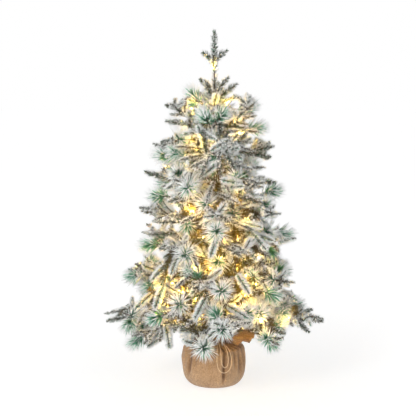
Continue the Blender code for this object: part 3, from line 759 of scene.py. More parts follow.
class Foliage(Gather):
    """One branch's wires and needles."""

    def __init__(self, seed):
        super().__init__()
        self.random = np.random.default_rng(seed)

    def wire(self, route, start_radius, end_radius):
        radii = np.linspace(start_radius, end_radius, len(route))
        points, triangles = tube_mesh(route, radii, 6)
        self.add(points, triangles, slot=1)

    def needles(self, starts, headings, lengths, kind):
        """Narrow blades, each a little arched and thickest in its middle."""
        count = len(starts)
        first, second = across(headings)
        turn = self.random.uniform(0, math.tau, (count, 1))
        flat = first * np.cos(turn) + second * np.sin(turn)
        arch = np.cross(headings, flat) * (0.6 * kind["half_width"] + 0.03 * lengths[:, None])
        middle = starts + headings * lengths[:, None] * 0.4 + arch
        edge = flat * kind["half_width"] * self.random.uniform(0.8, 1.2, (count, 1))
        tips = starts + headings * lengths[:, None]
        points = np.stack([starts, middle - edge, middle + edge, tips], 1).reshape(-1, 3)
        blade = np.array([(0, 1, 2), (3, 2, 1), (0, 2, 3), (0, 3, 1)])
        triangles = (np.arange(count)[:, None, None] * 4 + blade).reshape(-1, 3)
        root, body, point = kind["frost"]
        uneven = (self.random.normal(0, 0.16, count) + 0.12 * headings[:, 2])[:, None]
        frost = (uneven + np.array([root, body, body, point])).ravel()
        tone = np.repeat(np.clip(kind["green"] + self.random.normal(0, 0.13, count), 0, 1), 4)
        self.add(points, triangles, 0, frost, tone)

    def burst(self, kind, count):
        """Needles that stand out evenly from a twig's end: their places along it, leans, turns and lengths."""
        order = (np.arange(count) + 0.5) / count
        least, most = kind["spread"]
        place = 1 - 0.9 * order * self.random.uniform(0.4, 1.0, count)
        lean = np.radians(least + (most - least) * order**0.55 + self.random.normal(0, 4, count))
        turn = math.radians(GOLDEN_ANGLE) * np.arange(count) + self.random.normal(0, 0.12, count)
        lengths = kind["length"] * self.random.uniform(0.82, 1.05, count)
        return place, lean, turn, lengths

    def spray(self, kind, count):
        """Needles all along a twig. They are shorter and lean forwards near its end, which rounds the tip."""
        place = self.random.uniform(0, 1, count)
        lean = np.radians(self.random.uniform(*kind["spread"], count))
        lean *= 1 - 0.5 * np.clip((place - 0.88) / 0.12, 0, 1)
        turn = self.random.uniform(0, math.tau, count)
        lengths = kind["length"] * self.random.uniform(0.82, 1.05, count)
        lengths *= np.sqrt(np.clip(1 - ((place - 0.42) / 0.70) ** 2, 0.2, 1))
        return place, lean, turn, lengths

    def clothe(self, route, style, thin=1.0, facing=(0.1, -0.3, 1.0)):
        """Sets needles of a style round a route. The flat kind has them at its two sides, as seen from the
        facing direction."""
        kind = STYLES[style]
        route = np.array(route, float)
        steps = np.linalg.norm(np.diff(route, axis=0), axis=1)
        along = np.concatenate([[0], np.cumsum(steps)])
        bearing = along[-1] * (1 - kind["bare"])
        if style in BURSTS:
            place, lean, turn, lengths = self.burst(kind, BURSTS[style])
        else:
            count = max(12, round(bearing / MM * kind["density"] * thin))
            place, lean, turn, lengths = self.spray(kind, count)
        if style == "fir":
            turn = np.where(np.sin(turn) > 0, 0.0, math.pi) + self.random.normal(0, 0.42, len(turn))
        at = along[-1] * kind["bare"] + bearing * place
        starts = np.stack([np.interp(at, along, route[:, k]) for k in range(3)], 1)
        ahead = unit(np.stack([np.interp(at, along, np.gradient(route[:, k], along)) for k in range(3)], 1))
        first = unit(np.cross(ahead, facing))
        second = np.cross(ahead, first)
        round_about = first * np.cos(turn)[:, None] + second * np.sin(turn)[:, None]
        headings = unit(ahead * np.cos(lean)[:, None] + round_about * np.sin(lean)[:, None])
        reaches = headings * lengths[:, None]
        kept = clear_of_path(starts, reaches)
        if style not in BURSTS:
            kept &= clear_of_cones(starts, reaches)
        self.needles(starts[kept], headings[kept], lengths[kept], kind)

    def twig(self, start, end, along, style):
        """A twig that leaves its stem in the stem's direction and bends to its end."""
        start, end = Vector(start), kept_in(Vector(end), style)
        middle = start.lerp(end, 0.5) + Vector(along) * (end - start).length * 0.10
        route = smooth_route([start, middle, end], 12 * MM)
        self.wire(route, 1.0 * MM, 0.8 * MM)
        if style in BURSTS:
            reach = max(0.0, 1 - TIP_LENGTH[style] / route_length(route))
            self.clothe(route[:max(2, round(len(route) * reach) + 1)], "inner", thin=0.8)
            route = smooth_route([middle.lerp(end, 0.3), end], 12 * MM)
        outward = unit(np.array([middle.x, middle.y, 0.0])) + np.array([0.0, 0.0, 0.6])
        self.clothe(route, style, facing=outward)

    def shown_tip(self, start, end, heading, style):
        """A tip in a given place, with a bare wire that leads to it from its stem."""
        length = TIP_LENGTH[style]
        foot = end - heading * length
        middle = start.lerp(foot, 0.5) - heading * 6 * MM
        route = smooth_route([start, middle, foot, foot.lerp(end, 0.5), end], 10 * MM)
        self.wire(route, 1.1 * MM, 0.9 * MM)
        tip = smooth_route([foot, foot.lerp(end, 0.5) + Vector((0, 0, 1.5 * MM)), end], 10 * MM)
        self.clothe(tip, style, thin=1.25, facing=(0.1, -1.0, 0.3))
        if style in BURSTS:
            self.clothe(tip[:-2], "spruce", thin=0.8)
        if (foot - start).length > 30 * MM:
            self.clothe(smooth_route([start, middle, foot], 10 * MM), "dusted", thin=0.5)


class Branch:
    """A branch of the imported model: its root, its stem's line and its own axes."""

    def __init__(self, joint):
        self.body = joint["child"]
        self.node = next(n for n in BODIES[self.body] if n.startswith("branch"))
        self.root = Vector(joint["pos_m"])
        axis = Vector(joint["axis"])
        outward = Vector((-axis.y, axis.x, 0)).normalized()
        tip = max((v.co for v in NODES[self.node].data.vertices), key=lambda co: (co - self.root).length)
        reach, rise = (tip - self.root).dot(outward), tip.z - self.root.z
        elevation = math.atan2(rise, reach) - math.atan(STEM_BOW)
        self.length = math.hypot(reach, rise)
        self.ahead = outward * math.cos(elevation) + Vector((0, 0, math.sin(elevation)))
        self.side = Vector((0, 0, 1)).cross(outward)
        self.up = self.ahead.cross(self.side)
        self.inner = "dusted" if self.root.z > UPPER_PART else "inner"
        self.foliage = Foliage(int(self.node.replace("branch_", "").replace("_", "")))

    def at(self, share):
        return self.root + self.ahead * self.length * share + self.up * STEM_BOW * self.length * share**2

    def grow(self):
        """The stem with its needles, and its own twigs to both sides."""
        stem = [self.at(k / 12) for k in range(13)]
        self.foliage.wire(stem, WIRE_RADIUS, 0.8 * MM)
        self.foliage.clothe(stem[8:], "spruce")
        self.foliage.clothe(stem[1:9], self.inner, thin=0.6)
        used = TWIGS if self.length > 130 * MM else TWIGS[::2] + TWIGS[-2:]
        for start, length, splay, roll in used:
            self.twig_pair(start, max(length * self.length, LEAST_TWIG), splay, roll, OUTER_MIX)
        for start, length, splay, roll in INNER_TWIGS:
            self.twig_pair(start, length, splay, roll, {self.inner: 1.0})

    def twig_pair(self, start, length, splay, roll, styles):
        random = self.foliage.random
        for side in (-1, 1):
            turn = math.radians(splay + random.uniform(-8, 8)) * side
            lift = math.radians(roll * side + random.uniform(-10, 10) + 4)
            heading = self.ahead * math.cos(turn) + self.side * math.sin(turn)
            heading = (heading * math.cos(lift) + self.up * math.sin(lift)).normalized()
            begin = self.at(start + random.uniform(-0.03, 0.03))
            end = begin + heading * length * random.uniform(0.85, 1.1)
            style = random.choice(list(styles), p=list(styles.values()))
            self.foliage.twig(begin, end, self.ahead, style)


def outline_at(height):
    """How far the tree's tips reach from its axis at a height."""
    heights, reaches = zip(*TREE_OUTLINE)
    return float(np.interp(height / MM, heights, reaches)) * MM


def least_end(sideways, style):
    """How low a twig may end, as seen beside the trunk, so that the sack, its neck and its ear show."""
    least, over_shoulder, over_neck = LEAST_ENDS
    if NECK_FROM < sideways < NECK_TO:
        least = over_neck
    elif SHOULDER_FROM < sideways <= NECK_FROM:
        least = over_shoulder
    if style in BURSTS:
        least += 16 * MM
    return least


def kept_in(point, style):
    """The point, moved inside the tree's outline, behind its front tips, up from the sack and the cover."""
    front = point.y < -0.5 * point.xy.length
    beside = abs(point.x) > 0.8 * point.xy.length and point.z < WHORLS_FOOT
    inset = (30 * MM if style in BURSTS else 6 * MM) + (16 * MM if front or beside else 0.0)
    limit = outline_at(point.z) - inset
    if point.xy.length > limit:
        point.xy *= limit / point.xy.length
    point.y = min(point.y, CAD_BOX[1].y - inset)
    seen_height = point.z + math.tan(math.radians(VIEW_ELEVATION)) * point.y
    point.z += max(0.0, least_end(point.x, style) - seen_height)
    low, high = PATH_LOW.xy, PATH_HIGH.xy
    if all(a - PATH_CLEARANCE < p < b + PATH_CLEARANCE for a, p, b in zip(low, point.xy, high)):
        point.z = max(point.z, PATH_HIGH.z + PATH_CLEARANCE)
    return point


def bearer(branches, point):
    """The branch, and the share of its stem, nearest to a point and further in than it."""
    best = None
    for branch in branches:
        for share in (0.3, 0.4, 0.5, 0.6, 0.7, 0.8):
            gap = point - branch.at(share)
            behind = max(0.0, branch.at(share).xy.length - point.xy.length)
            cost = gap.length + 3 * behind
            if best is None or cost < best[0]:
                best = (cost, branch, share)
    return best[1], best[2]


def front_point(sideways, height, depth=0.92):
    """A point near the front of the tree, on the line of sight to a point beside the trunk."""
    seen = Vector((sideways, 0, height))
    point = seen
    for _ in range(4):
        reach = max(outline_at(point.z), abs(point.x) + 4 * MM)
        forward = depth * math.sqrt(reach**2 - point.x**2)
        point = seen.lerp(VIEW_FROM, -forward / VIEW_FROM.y)
    return point


def across_view(way):
    """A direction at right angles to the view, in degrees from the right."""
    return polar(0, math.cos(math.radians(way)), math.sin(math.radians(way)))


def grow_shown_tips(branches):
    for kind, x, z, way in FRONT_TIPS:
        end = front_point(x * MM, z * MM)
        if way is None:
            heading = Vector((0.25 * x / 80, -1, 0.12)).normalized()
        else:
            heading = (across_view(way) * 0.85 + Vector((0, -0.5, 0))).normalized()
        grow_shown_tip(branches, kind, end, heading)
    for kind, x, z, way in SIDE_TIPS:
        end = Vector((x * MM, -15 * MM, z * MM))
        grow_shown_tip(branches, kind, end, (across_view(way) + Vector((0, -0.15, 0))).normalized())
    for kind, azimuth, reach, height in BACK_TIPS:
        end = polar(azimuth, reach * MM, height * MM)
        grow_shown_tip(branches, kind, end, polar(azimuth, 1, 0.15).normalized())


def grow_shown_tip(branches, kind, end, heading):
    foot = end - heading * TIP_LENGTH[kind]
    branch, share = bearer(branches, foot)
    branch.foliage.shown_tip(branch.at(share), end, heading, kind)


def grow_branches():
    branches = [Branch(joint) for joint in frame["joints"] if joint["child"].startswith("bough")]
    for branch in branches:
        branch.grow()
    grow_shown_tips(branches)
    return branches


def add_foliage(branches, needles, film):
    for branch in branches:
        piece = branch.foliage.make(branch.node.replace("branch", "foliage"), [needles, film])
        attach(piece, branch.body)
        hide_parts(branch.node)


def add_spire(needles, film):
    """The leader and the whorls below it, on the trunk's end."""
    low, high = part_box("top_spire")
    leader_foot = low.z + 30 * MM
    foliage = Foliage(91)
    leader = [Vector((0, 0, leader_foot + (high.z - leader_foot) * k / 10)) for k in range(11)]
    foliage.wire(leader, 2.0 * MM, 1.2 * MM)
    ahead = (0.1, -1.0, 0.0)
    foliage.clothe(leader[5:], "dusted", thin=1.3, facing=ahead)
    foliage.clothe(leader, "dusted", thin=0.45, facing=ahead)
    whorls = (
        (high.z - 82 * MM, 46 * MM, 40, (182, 2), "dusted"),
        (high.z - 90 * MM, 38 * MM, 50, (262, 88), "dusted"),
        (high.z - 174 * MM, 66 * MM, 58, (185, 352), "dusted"),
        (high.z - 182 * MM, 76 * MM, 42, (5, 80, 235), "dusted"),
        (high.z - 186 * MM, 66 * MM, 28, (275, 150, 45), "fir"),
        (high.z - 200 * MM, 84 * MM, 24, (205, 322, 100), "spruce"),
        (high.z - 214 * MM, 76 * MM, 12, (250, 18, 130), "tuft"),
        (high.z - 226 * MM, 92 * MM, 6, (290, 52, 170), "spruce"),
    )
    for height, length, elevation, azimuths, style in whorls:
        tilt = math.radians(elevation)
        for index, azimuth in enumerate(azimuths):
            begin = Vector((0, 0, height + 4 * MM * index))
            heading = polar(azimuth, math.cos(tilt), math.sin(tilt))
            foliage.twig(begin, begin + heading * length, (0, 0, 1), style)
    add_sprigs(foliage, leader_foot)
    piece = foliage.make("foliage_top", [needles, film])
    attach(piece, "stand")
    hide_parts("top_spire")


def add_sprigs(foliage, top):
    """Short sprigs that hide the trunk, all the way up between the branches."""
    steps = int((top - SPRIG_FOOT) / SPRIG_PITCH)
    for k in range(steps):
        azimuth = GOLDEN_ANGLE * k + foliage.random.uniform(-15, 15)
        height = SPRIG_FOOT + SPRIG_PITCH * k
        begin = polar(azimuth, 7 * MM, height)
        reach = foliage.random.uniform(36, 72) * MM
        middle = begin + polar(azimuth, 0.5, 0.12) * reach
        route = smooth_route([begin, middle, begin + polar(azimuth, 1, 0.5) * reach], 12 * MM)
        foliage.wire(route, 0.9 * MM, 0.7 * MM)
        if height > UPPER_PART:
            foliage.clothe(route, "dusted", thin=0.8)
        else:
            foliage.clothe(route, "inner", thin=1.3)


# Pine cones


def scale_triangles():
    """Triangles of one thin scale: an inner face of five corners, an outer one, and the rim between them."""
    faces = [(0, 2, 1), (0, 3, 2), (0, 4, 3), (5, 6, 7), (5, 7, 8), (5, 8, 9)]
    for i in range(5):
        j = (i + 1) % 5
        faces += [(i, j, j + 5), (i, j + 5, i + 5)]
    return np.array(faces)


def cone_shape(shape, base, tip):
    """Overlapping scales in a spiral round a core, opening towards the tip."""
    axis = unit(np.array(tip - base, float))
    length = (tip - base).length
    first, second = (v[0] for v in across(axis[None]))
    turn = np.arange(8) * math.tau / 8
    core = [np.array(base) + axis * length * t for t in (0.02, 0.2, 0.5, 0.8, 0.95)]
    points, triangles = tube_mesh(core, np.array([1, 4.5, 5.5, 4, 1.5]) * MM, len(turn))
    shape.add(points, triangles, 0, 0.0)
    count = 76
    pattern = scale_triangles()
    for k in range(count):
        t = (k + 0.5) / count
        angle = math.radians(GOLDEN_ANGLE) * k
        out = first * math.cos(angle) + second * math.sin(angle)
        side = np.cross(axis, out)
        girth = 11 * MM * math.sin(math.pi * (0.1 + 0.84 * t) ** 0.75) ** 0.6
        lean = math.radians(28 + 34 * t)
        heading = out * math.cos(lean) + axis * math.sin(lean)
        normal = np.cross(side, heading)
        root = np.array(base) + axis * length * (0.04 + 0.86 * t) + out * 2 * MM
        size = girth - 2 * MM
        width = 0.48 * size + 1.2 * MM
        outline = [
            root - side * width * 0.3,
            root + heading * size * 0.75 - side * width,
            root + heading * size,
            root + heading * size * 0.75 + side * width,
            root + side * width * 0.3,
        ]
        plate = [*(p - normal * 0.55 * MM for p in outline), *(p + normal * 0.55 * MM for p in outline)]
        frost = np.array([-0.2, 0.55, 0.95, 0.55, -0.2] * 2)
        shape.add(np.array(plate), pattern, 0, frost)


def add_cones(material):
    for node in sorted(n for n in NODES if n.startswith("pine_cone")):
        corners = [v.co.copy() for v in NODES[node].data.vertices]
        centre = sum(corners, Vector()) / len(corners)
        base = max(corners, key=lambda co: (co - centre).length)
        tip = max(corners, key=lambda co: (co - base).length)
        if base.z < tip.z:
            base, tip = tip, base
        shape = Gather()
        cone_shape(shape, base, tip)
        piece = shape.make(node.replace("pine_cone", "scaly_cone"), [material], smooth=False)
        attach(piece, BODY_OF[node])
        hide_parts(node)


# Lamps


def lamp_shape(shape, foot, heading):
    """A socket and a lit lens, pointing along a heading."""
    turn = heading.to_track_quat("Z", "Y").to_matrix().to_4x4()
    place = np.array(Matrix.Translation(foot) @ turn)
    socket = [(0, 0), (1.5, 0), (1.7, 2), (1.7, 7), (1.4, 7.6), (0, 7.6)]
    lens = [(0, 7.7), (1.2, 7.7), (1.8, 8.4), (1.9, 10), (1.8, 12.5), (1.3, 14), (0.6, 14.5), (0, 14.6)]
    for outline, slot in ((socket, 0), (lens, 1)):
        points, triangles = lathe([(r * MM, z * MM) for r, z in outline], 10)
        shape.add(points @ place[:3, :3].T + place[:3, 3], triangles, slot)


def lamp_places(branches):
    """Points and powers of each body's lamps: those near the front in their own places, then two nearer each
    root, and one far out on the branches that don't point forwards."""
    found = {branch.body: [] for branch in branches}
    for x, z, bright in FRONT_LAMPS:
        if z * MM <= branches[-1].at(1).z + 10 * MM:
            point = front_point(x * MM, z * MM, depth=0.76)
            found[bearer(branches, point)[0].body].append((point, LAMP_POWER * bright))
    for branch in branches:
        inner_power = INNER_LAMP_POWER * (1.9 if branch.root.z > UPPER_PART else 0.95)
        found[branch.body].append((branch.at(0.25) + branch.up * 9 * MM, inner_power))
        found[branch.body].append((branch.at(0.44) - branch.up * 9 * MM, inner_power / 2))
        if branch.ahead.y > -0.1:
            found[branch.body].append((branch.at(0.82) + branch.up * 8 * MM, LAMP_POWER))
    return found


def grow_lamp(shape, branch, point, power):
    """A lamp with its lead along the stem, its light, and the sprigs that catch it."""
    share = max(0.1, min(0.95, (point - branch.root).dot(branch.ahead) / branch.length))
    stem = branch.at(share)
    heading = (point - stem).normalized() if (point - stem).length > 12 * MM else branch.up
    heading = (heading + branch.ahead * 0.4).normalized()
    foot = point - heading * 8 * MM
    lamp_shape(shape, foot, heading)
    beside = branch.up * 2 * MM
    lead = [branch.at(share * part) + beside for part in (0.05, 0.35, 0.7, 0.95)]
    shape.add(*tube_mesh(smooth_route([*lead, foot], 14 * MM), 0.55 * MM, 5), slot=0)
    for _ in range(SPRIGS_AT_LAMP):
        stray = Vector(branch.foliage.random.normal(0, 1, 3)).normalized()
        stray.z = abs(stray.z)
        end = point + stray * 26 * MM
        route = smooth_route([stem, stem.lerp(end, 0.5) + stray * 6 * MM, end], 10 * MM)
        branch.foliage.wire(route, 0.8 * MM, 0.6 * MM)
        branch.foliage.clothe(route, branch.inner, thin=0.8)
    add_lamp_light(branch.body, foot + heading * 18 * MM, power)


def add_lamps(branches, socket, lens):
    places = lamp_places(branches)
    for branch in branches:
        shape = Gather()
        for point, power in places[branch.body]:
            grow_lamp(shape, branch, point, power)
        piece = shape.make(branch.node.replace("branch", "lamps"), [socket, lens])
        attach(piece, branch.body)
    add_top_lamps(socket, lens)


def add_top_lamps(socket, lens):
    shape = Gather()
    for azimuth, radius, height in TOP_LAMPS:
        heading = polar(azimuth, 0.8, 0.6)
        foot = polar(azimuth, radius * MM, height * MM) - heading * 6 * MM
        lamp_shape(shape, foot, heading)
        middle = foot.lerp(Vector((0, 0, foot.z)), 0.5)
        lead = smooth_route([Vector((0, 0, foot.z - 24 * MM)), middle, foot], 12 * MM)
        shape.add(*tube_mesh(lead, 0.55 * MM, 5), slot=0)
        add_lamp_light("stand", foot + heading * 18 * MM, TOP_LAMP_POWER)
    piece = shape.make("lamps_top", [socket, lens])
    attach(piece, "stand")


def add_lamp_light(body, place, power):
    data = bpy.data.lights.new("lamp_light", "POINT")
    data.color = WARM
    data.energy = power
    data.shadow_soft_size = 3 * MM
    light = new_object("lamp_light", data)
    light.location = place
    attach(light, body)


# The sack


def mouth_at(azimuth):
    """Reach and height of the mouth's edge, eased between the corners and hollows of MOUTH."""
    for i, (start, reach, height) in enumerate(MOUTH):
        end, next_reach, next_height = MOUTH[(i + 1) % len(MOUTH)]
        span, past = (end - start) % 360, (azimuth - start) % 360
        if past < span:
            ease = (1 - math.cos(math.pi * past / span)) / 2
            return (reach + (next_reach - reach) * ease) * MM, (height + (next_height - height) * ease) * MM
    return MOUTH[0][1] * MM, MOUTH[0][2] * MM


def pleats():
    """Creases gathered under the tie: azimuth, half width, depth, and how low they reach."""
    random = np.random.default_rng(5)
    made = []
    for k in range(NECK_PLEATS):
        azimuth = 360 * k / NECK_PLEATS + random.uniform(-3.5, 3.5)
        made.append((azimuth, random.uniform(3.2, 5.0), random.uniform(2.5, 4.5), random.uniform(0.62, 0.78)))
    return made


def crease(azimuth, share, folds, fade_length=0.22, lean=1.0, ridge=0.9):
    """Depth of the folds at an azimuth, at a share of the way from the middle of the bottom to the neck.
    A lean above 1 makes one side of each fold steeper than the other, and a ridge stands up on both sides."""
    depth = 0.0
    for centre, width, deep, low in folds:
        gap = (azimuth - centre + 180) % 360 - 180
        near = (gap / width * (lean if gap > 0 else 1 / lean)) ** 2
        if near < 9 and share > low:
            fade = min(1.0, (share - low) / fade_length)
            depth += deep * fade * fade * (3 - 2 * fade) * (1 - ridge * near) * math.exp(-near)
    return depth * MM


def gathered_row(around, point, normal, share, folds):
    """A ring of the cloth round the pot, creased inwards along the outline's normal."""
    row = []
    for i in range(around):
        azimuth = 360 * i / around
        inward = crease(azimuth, share, folds) * min(1.0, 0.25 + point.x / (50 * MM))
        spot = point - normal * (inward if point.z > 4 * MM else 0.0)
        row.append(polar(azimuth, max(spot.x, 0.4 * MM), max(spot.z, 0.8 * MM)))
    return row


def frill_row(around, share, neck):
    """A ring of the frill above the tie, at a share of the way from the neck to the mouth's edge."""
    row = []
    for i in range(around):
        azimuth = 360 * i / around
        reach, height = mouth_at(azimuth)
        ruffle = math.sin(math.radians(azimuth * 17)) + 0.6 * math.sin(math.radians(azimuth * 29 + 40))
        calm = 0.3 if 15 < azimuth < 165 else 1.0
        lift = neck.z + (height - neck.z) * share**0.8 + 2 * MM * math.sin(math.pi * share)
        lift += ruffle * calm * 3.6 * MM * share**0.6
        lift -= EAR_HOLLOW[2] * math.exp(-(((azimuth - EAR_HOLLOW[0]) / EAR_HOLLOW[1]) ** 2)) * share
        row.append(polar(azimuth + 1.5 * ruffle * share, neck.x + (reach - neck.x) * share, lift))
    return row


def sack_rows(around):
    """The gathered cloth as rings of points, the rings before gathering, and their distances along it."""
    folds = pleats()
    outline = smooth_route([Vector((r * MM, 0, z * MM)) for r, z in SACK_OUTLINE], 3.4 * MM)
    total = route_length(outline)
    rows, cut, along, done = [], [], [], 0.0
    for k, point in enumerate(outline):
        before, after = outline[max(k - 1, 0)], outline[min(k + 1, len(outline) - 1)]
        done += (point - before).length if k else 0.0
        tangent = (after - before).normalized()
        normal = Vector((tangent.z, 0, -tangent.x))
        rows.append(gathered_row(around, point, normal, done / total, folds))
        cut.append((min(done + 0.5 * MM, CLOTH_ROUND / math.tau), max(0.0, done - 70 * MM)))
        along.append(done)
    for k in range(1, FRILL_ROWS + 1):
        share = k / FRILL_ROWS
        rows.append(frill_row(around, share, outline[-1]))
        along.append(total + share * 55 * MM)
        cut.append((CLOTH_ROUND / math.tau, along[-1] - 70 * MM))
    return rows, cut, along


def cloth_mesh(rows, along, material):
    """A mesh of the cloth, with thread coordinates in millimetres along its weave."""
    around = len(rows[0])
    faces, threads = [], []
    for k in range(len(rows) - 1):
        for i in range(around):
            j = (i + 1) % around
            faces.append((k * around + i, k * around + j, (k + 1) * around + j, (k + 1) * around + i))
            left, right = (CLOTH_ROUND / MM * n / around for n in (i, i + 1))
            low, high = along[k] / MM, along[k + 1] / MM
            threads += [(left, low), (right, low), (right, high), (left, high)]
    mesh = bpy.data.meshes.new("burlap_cloth")
    mesh.from_pydata([point for row in rows for point in row], [], faces)
    layer = mesh.uv_layers.new(name="threads")
    layer.data.foreach_set("uv", np.array(threads, np.float32).ravel())
    mesh.polygons.foreach_set("use_smooth", np.full(len(faces), True))
    mesh.materials.append(material)
    return mesh


def add_sack(material):
    around = 208
    rows, cut, along = sack_rows(around)
    sack = new_object("burlap_cloth", cloth_mesh(rows, along, material))
    drape(sack, rows, cut)
    press_folds(sack, around, along)
    edge = [vertex.co.copy() for vertex in sack.data.vertices[-2 * around:]]
    thicken = sack.modifiers.new("cloth", "SOLIDIFY")
    thicken.thickness = CLOTH_THICKNESS
    thicken.offset = -1
    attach(sack, "stand")
    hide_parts("burlap_sack")
    add_frayed_edge(edge[around:], edge[:around], material)


def drape(sack, rows, cut):
    """Lets the cloth settle from its gathered shape, pinned at its foot and under the tie. It settles at a
    larger scale, because the solver's contacts are too coarse for millimetres."""
    supports = add_supports()
    settling = add_settling(sack, rows, cut)
    scene = bpy.context.scene
    for step in range(1, SETTLING_FRAMES + 1):
        scene.frame_set(step)
    settled = settling.evaluated_get(bpy.context.evaluated_depsgraph_get()).data
    places = [vertex.co / SETTLING_SCALE for vertex in settled.vertices]
    starts = [point for row in rows for point in row]
    for vertex, start, place in zip(sack.data.vertices, starts, places):
        moved = place - start
        if moved.length > LARGEST_SAG:
            moved *= LARGEST_SAG / moved.length
        vertex.co = start + moved
    for helper in (settling, *supports):
        bpy.data.objects.remove(helper)
    scene.frame_set(1)


def add_supports():
    """What the cloth lies on as it settles."""
    enlarge = Matrix.Scale(SETTLING_SCALE, 4)
    supports = [settle_on(NODES[node].data.copy(), enlarge) for node in ("battery_case", "trunk_wrap")]
    filling = Gather()
    filling.add(*lathe([(r * MM, z * MM) for r, z in FILLING], 64))
    supports.append(settle_on(filling.make("filling", []).data, enlarge))
    bpy.data.objects.remove(bpy.data.objects["filling"])
    return supports


def add_settling(sack, rows, cut):
    """An enlarged copy of the cloth that settles, with the shape it was cut to as its resting shape."""
    around = len(rows[0])
    mesh = sack.data.copy()
    mesh.transform(Matrix.Scale(SETTLING_SCALE, 4))
    settling = new_object("settling", mesh)
    settling.shape_key_add(name="gathered")
    flat = settling.shape_key_add(name="cut")
    for k, (radius, height) in enumerate(cut):
        for i in range(around):
            flat.data[k * around + i].co = polar(360 * i / around, radius, height) * SETTLING_SCALE
    flat.value = 0.0
    held = settling.vertex_groups.new(name="held")
    neck = (NECK_HEIGHT - 5 * MM, NECK_HEIGHT + 6 * MM)
    starts = [point for row in rows for point in row]
    pinned = [
        n for n, p in enumerate(starts) if p.z < 4 * MM or (neck[0] < p.z < neck[1] and p.xy.length < 20 * MM)
    ]
    held.add(pinned, 1.0, "REPLACE")
    cloth = settling.modifiers.new("drape", "CLOTH")
    for name, value in CLOTH_SETTINGS.items():
        setattr(cloth.settings, name, value)
    cloth.settings.vertex_group_mass = "held"
    cloth.settings.rest_shape_key = flat
    cloth.settings.effector_weights.gravity = 0.5
    contacts = cloth.collision_settings
    contacts.distance_min = 1.0 * MM * SETTLING_SCALE
    contacts.collision_quality = 3
    contacts.use_self_collision = True
    contacts.self_distance_min = 0.9 * MM * SETTLING_SCALE
    cloth.point_cache.frame_end = SETTLING_FRAMES
    return settling


def settle_on(mesh, enlarge):
    """A solid that the cloth can't sink into."""
    mesh.transform(enlarge)
    solid = new_object("support", mesh)
    solid.modifiers.new("support", "COLLISION")
    solid.collision.thickness_outer = 0.5 * MM * SETTLING_SCALE
    return solid


def long_fold(azimuth, share):
    """Depth of the long folds, which are drawn towards the knot on their way up."""
    drawn = min(1.0, max(0.0, (share - 0.4) / 0.4))
    leaning = azimuth + drawn * FOLD_DRIFT * math.sin(math.radians(azimuth - KNOT_AZIMUTH))
    return crease(leaning, share, LONG_FOLDS, FOLD_FADE, 1.4, 1.5) * min(1.0, (0.97 - share) / 0.2)


def squeeze(point, depth):
    """How much nearer the axis a fold draws a point of the cloth, which stays outside the pot."""
    radius = point.xy.length
    if radius <= 20 * MM:
        return 1.0
    least = min(radius, POT_CLEARANCE) if point.z < RIM_HEIGHT else 0.0
    return max(radius - depth, least) / radius


def press_folds(sack, around, along):
    """Presses the long folds into the settled cloth, down its sides and across its shoulder, and pleats the
    ear. Each point's share of the deepest fold is kept for the painted shade that darkens the cloth in its
    creases."""
    neck = along[-FRILL_ROWS - 1]
    gathered = pleats()
    painted_fold_shades = []
    for number, vertex in enumerate(sack.data.vertices):
        row, place = divmod(number, around)
        share = along[row] / neck
        azimuth = 360 * place / around
        depth = 0.0
        if share < 0.97:
            depth = long_fold(azimuth, share)
            vertex.co.xy *= squeeze(vertex.co, depth)
        elif EAR[0] < azimuth < EAR[1]:
            out = (along[row] - neck) / (along[-1] - neck)
            rise = EAR_PLEAT * math.sin(math.radians(azimuth * 38)) * max(0.0, out) ** 0.5
            vertex.co.z += rise
            depth = -rise
        # The deeper of the long fold, the ear's pleat and the neck's pleat here sets the painted shade of the
        # cloth
        pleat = crease(azimuth, share, gathered) if share < 1 else 0.0
        painted_fold_shades.append(max(depth, pleat) / DEEPEST_FOLD)
        vertex.co = clear_of_twine(vertex.co)
    attribute = sack.data.attributes.new("fold", "FLOAT", "POINT")
    attribute.data.foreach_set("value", painted_fold_shades)


def clear_of_twine(point):
    """The point, kept under the hanging loops."""
    azimuth = math.degrees(math.atan2(point.y, point.x))
    if -92 < azimuth < -50 and 40 * MM < point.z < 100 * MM:
        limit = 83 * MM
        if point.xy.length > limit:
            point.xy *= limit / point.xy.length
    return point


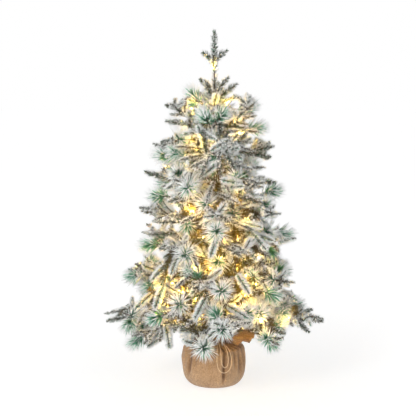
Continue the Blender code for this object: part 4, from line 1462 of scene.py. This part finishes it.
def add_frayed_edge(edge, inner, material):
    """Loose threads along the cloth's cut edge."""
    random = np.random.default_rng(8)
    shape = Gather()
    for i in range(0, len(edge), 2):
        heading = (edge[i] - inner[i]).normalized()
        stray = Vector(random.normal(0, 0.35, 3))
        reach = random.uniform(2.0, 6.0) * MM
        start = edge[i] - heading * 1.5 * MM
        end = start + (heading + stray).normalized() * reach
        middle = start.lerp(end, 0.5) + stray * 0.4 * MM
        shape.add(*tube_mesh([start, middle, end], [0.4 * MM, 0.35 * MM, 0.15 * MM], 4))
    piece = shape.make("frayed_edge", [material])
    layer = piece.data.uv_layers.new(name="threads")
    spots = np.array([piece.data.vertices[loop.vertex_index].co[:2] for loop in piece.data.loops]) / MM
    layer.data.foreach_set("uv", spots.astype(np.float32).ravel())
    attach(piece, "stand")


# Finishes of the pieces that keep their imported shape


# Nodes, then their finish: name, darker and lighter colour, roughness, grain's scale and depth, and metallic
FINISHES = (
    (
        ("base_pot", "battery_case", "battery_cover"),
        ("black_moulding", (0.012, 0.012, 0.012), (0.035, 0.035, 0.036), 0.5, 900.0, 0.2 * MM),
    ),
    (("switch_slider",), ("grey_moulding", (0.10, 0.10, 0.10), (0.18, 0.18, 0.18), 0.45, 900.0, 0.1 * MM)),
    (("base_weight",), ("cement", (0.26, 0.25, 0.23), (0.52, 0.50, 0.47), 0.9, 160.0, 1.2 * MM)),
    (("trunk_pole",), ("steel", (0.42, 0.43, 0.44), (0.62, 0.63, 0.64), 0.35, 240.0, 0.1 * MM, 1.0)),
    (("trunk_wrap",), ("wound_film", (0.035, 0.045, 0.028), (0.11, 0.10, 0.06), 0.7, 190.0, 0.8 * MM)),
    (("light_lead",), ("green_sheath", (0.012, 0.05, 0.02), (0.03, 0.10, 0.045), 0.45, 500.0, 0.1 * MM)),
    (
        ("contact_left", "contact_right"),
        ("nickel", (0.55, 0.53, 0.48), (0.72, 0.70, 0.66), 0.3, 400.0, 0.05 * MM, 1.0),
    ),
    (
        ("cell_1", "cell_2", "cell_3"),
        ("cell_sleeve", (0.05, 0.10, 0.16), (0.08, 0.15, 0.22), 0.32, 300.0, 0.05 * MM),
    ),
)


def finish_nodes():
    for nodes, finish in FINISHES:
        made = grained_material(*finish)
        for node in nodes:
            mesh = NODES[node].data
            mesh.materials.clear()
            mesh.materials.append(made)


def main():
    add_camera()
    add_stage()
    add_twine(twine_material())
    needles, film = needle_material(), twig_material()
    branches = grow_branches()
    socket = grained_material("lamp_socket", (0.02, 0.07, 0.03), (0.04, 0.12, 0.06), 0.45, 500.0, 0.1 * MM)
    add_lamps(branches, socket, lamp_material())
    add_foliage(branches, needles, film)
    add_spire(needles, film)
    add_cones(cone_material())
    add_sack(burlap_material())
    finish_nodes()


main()
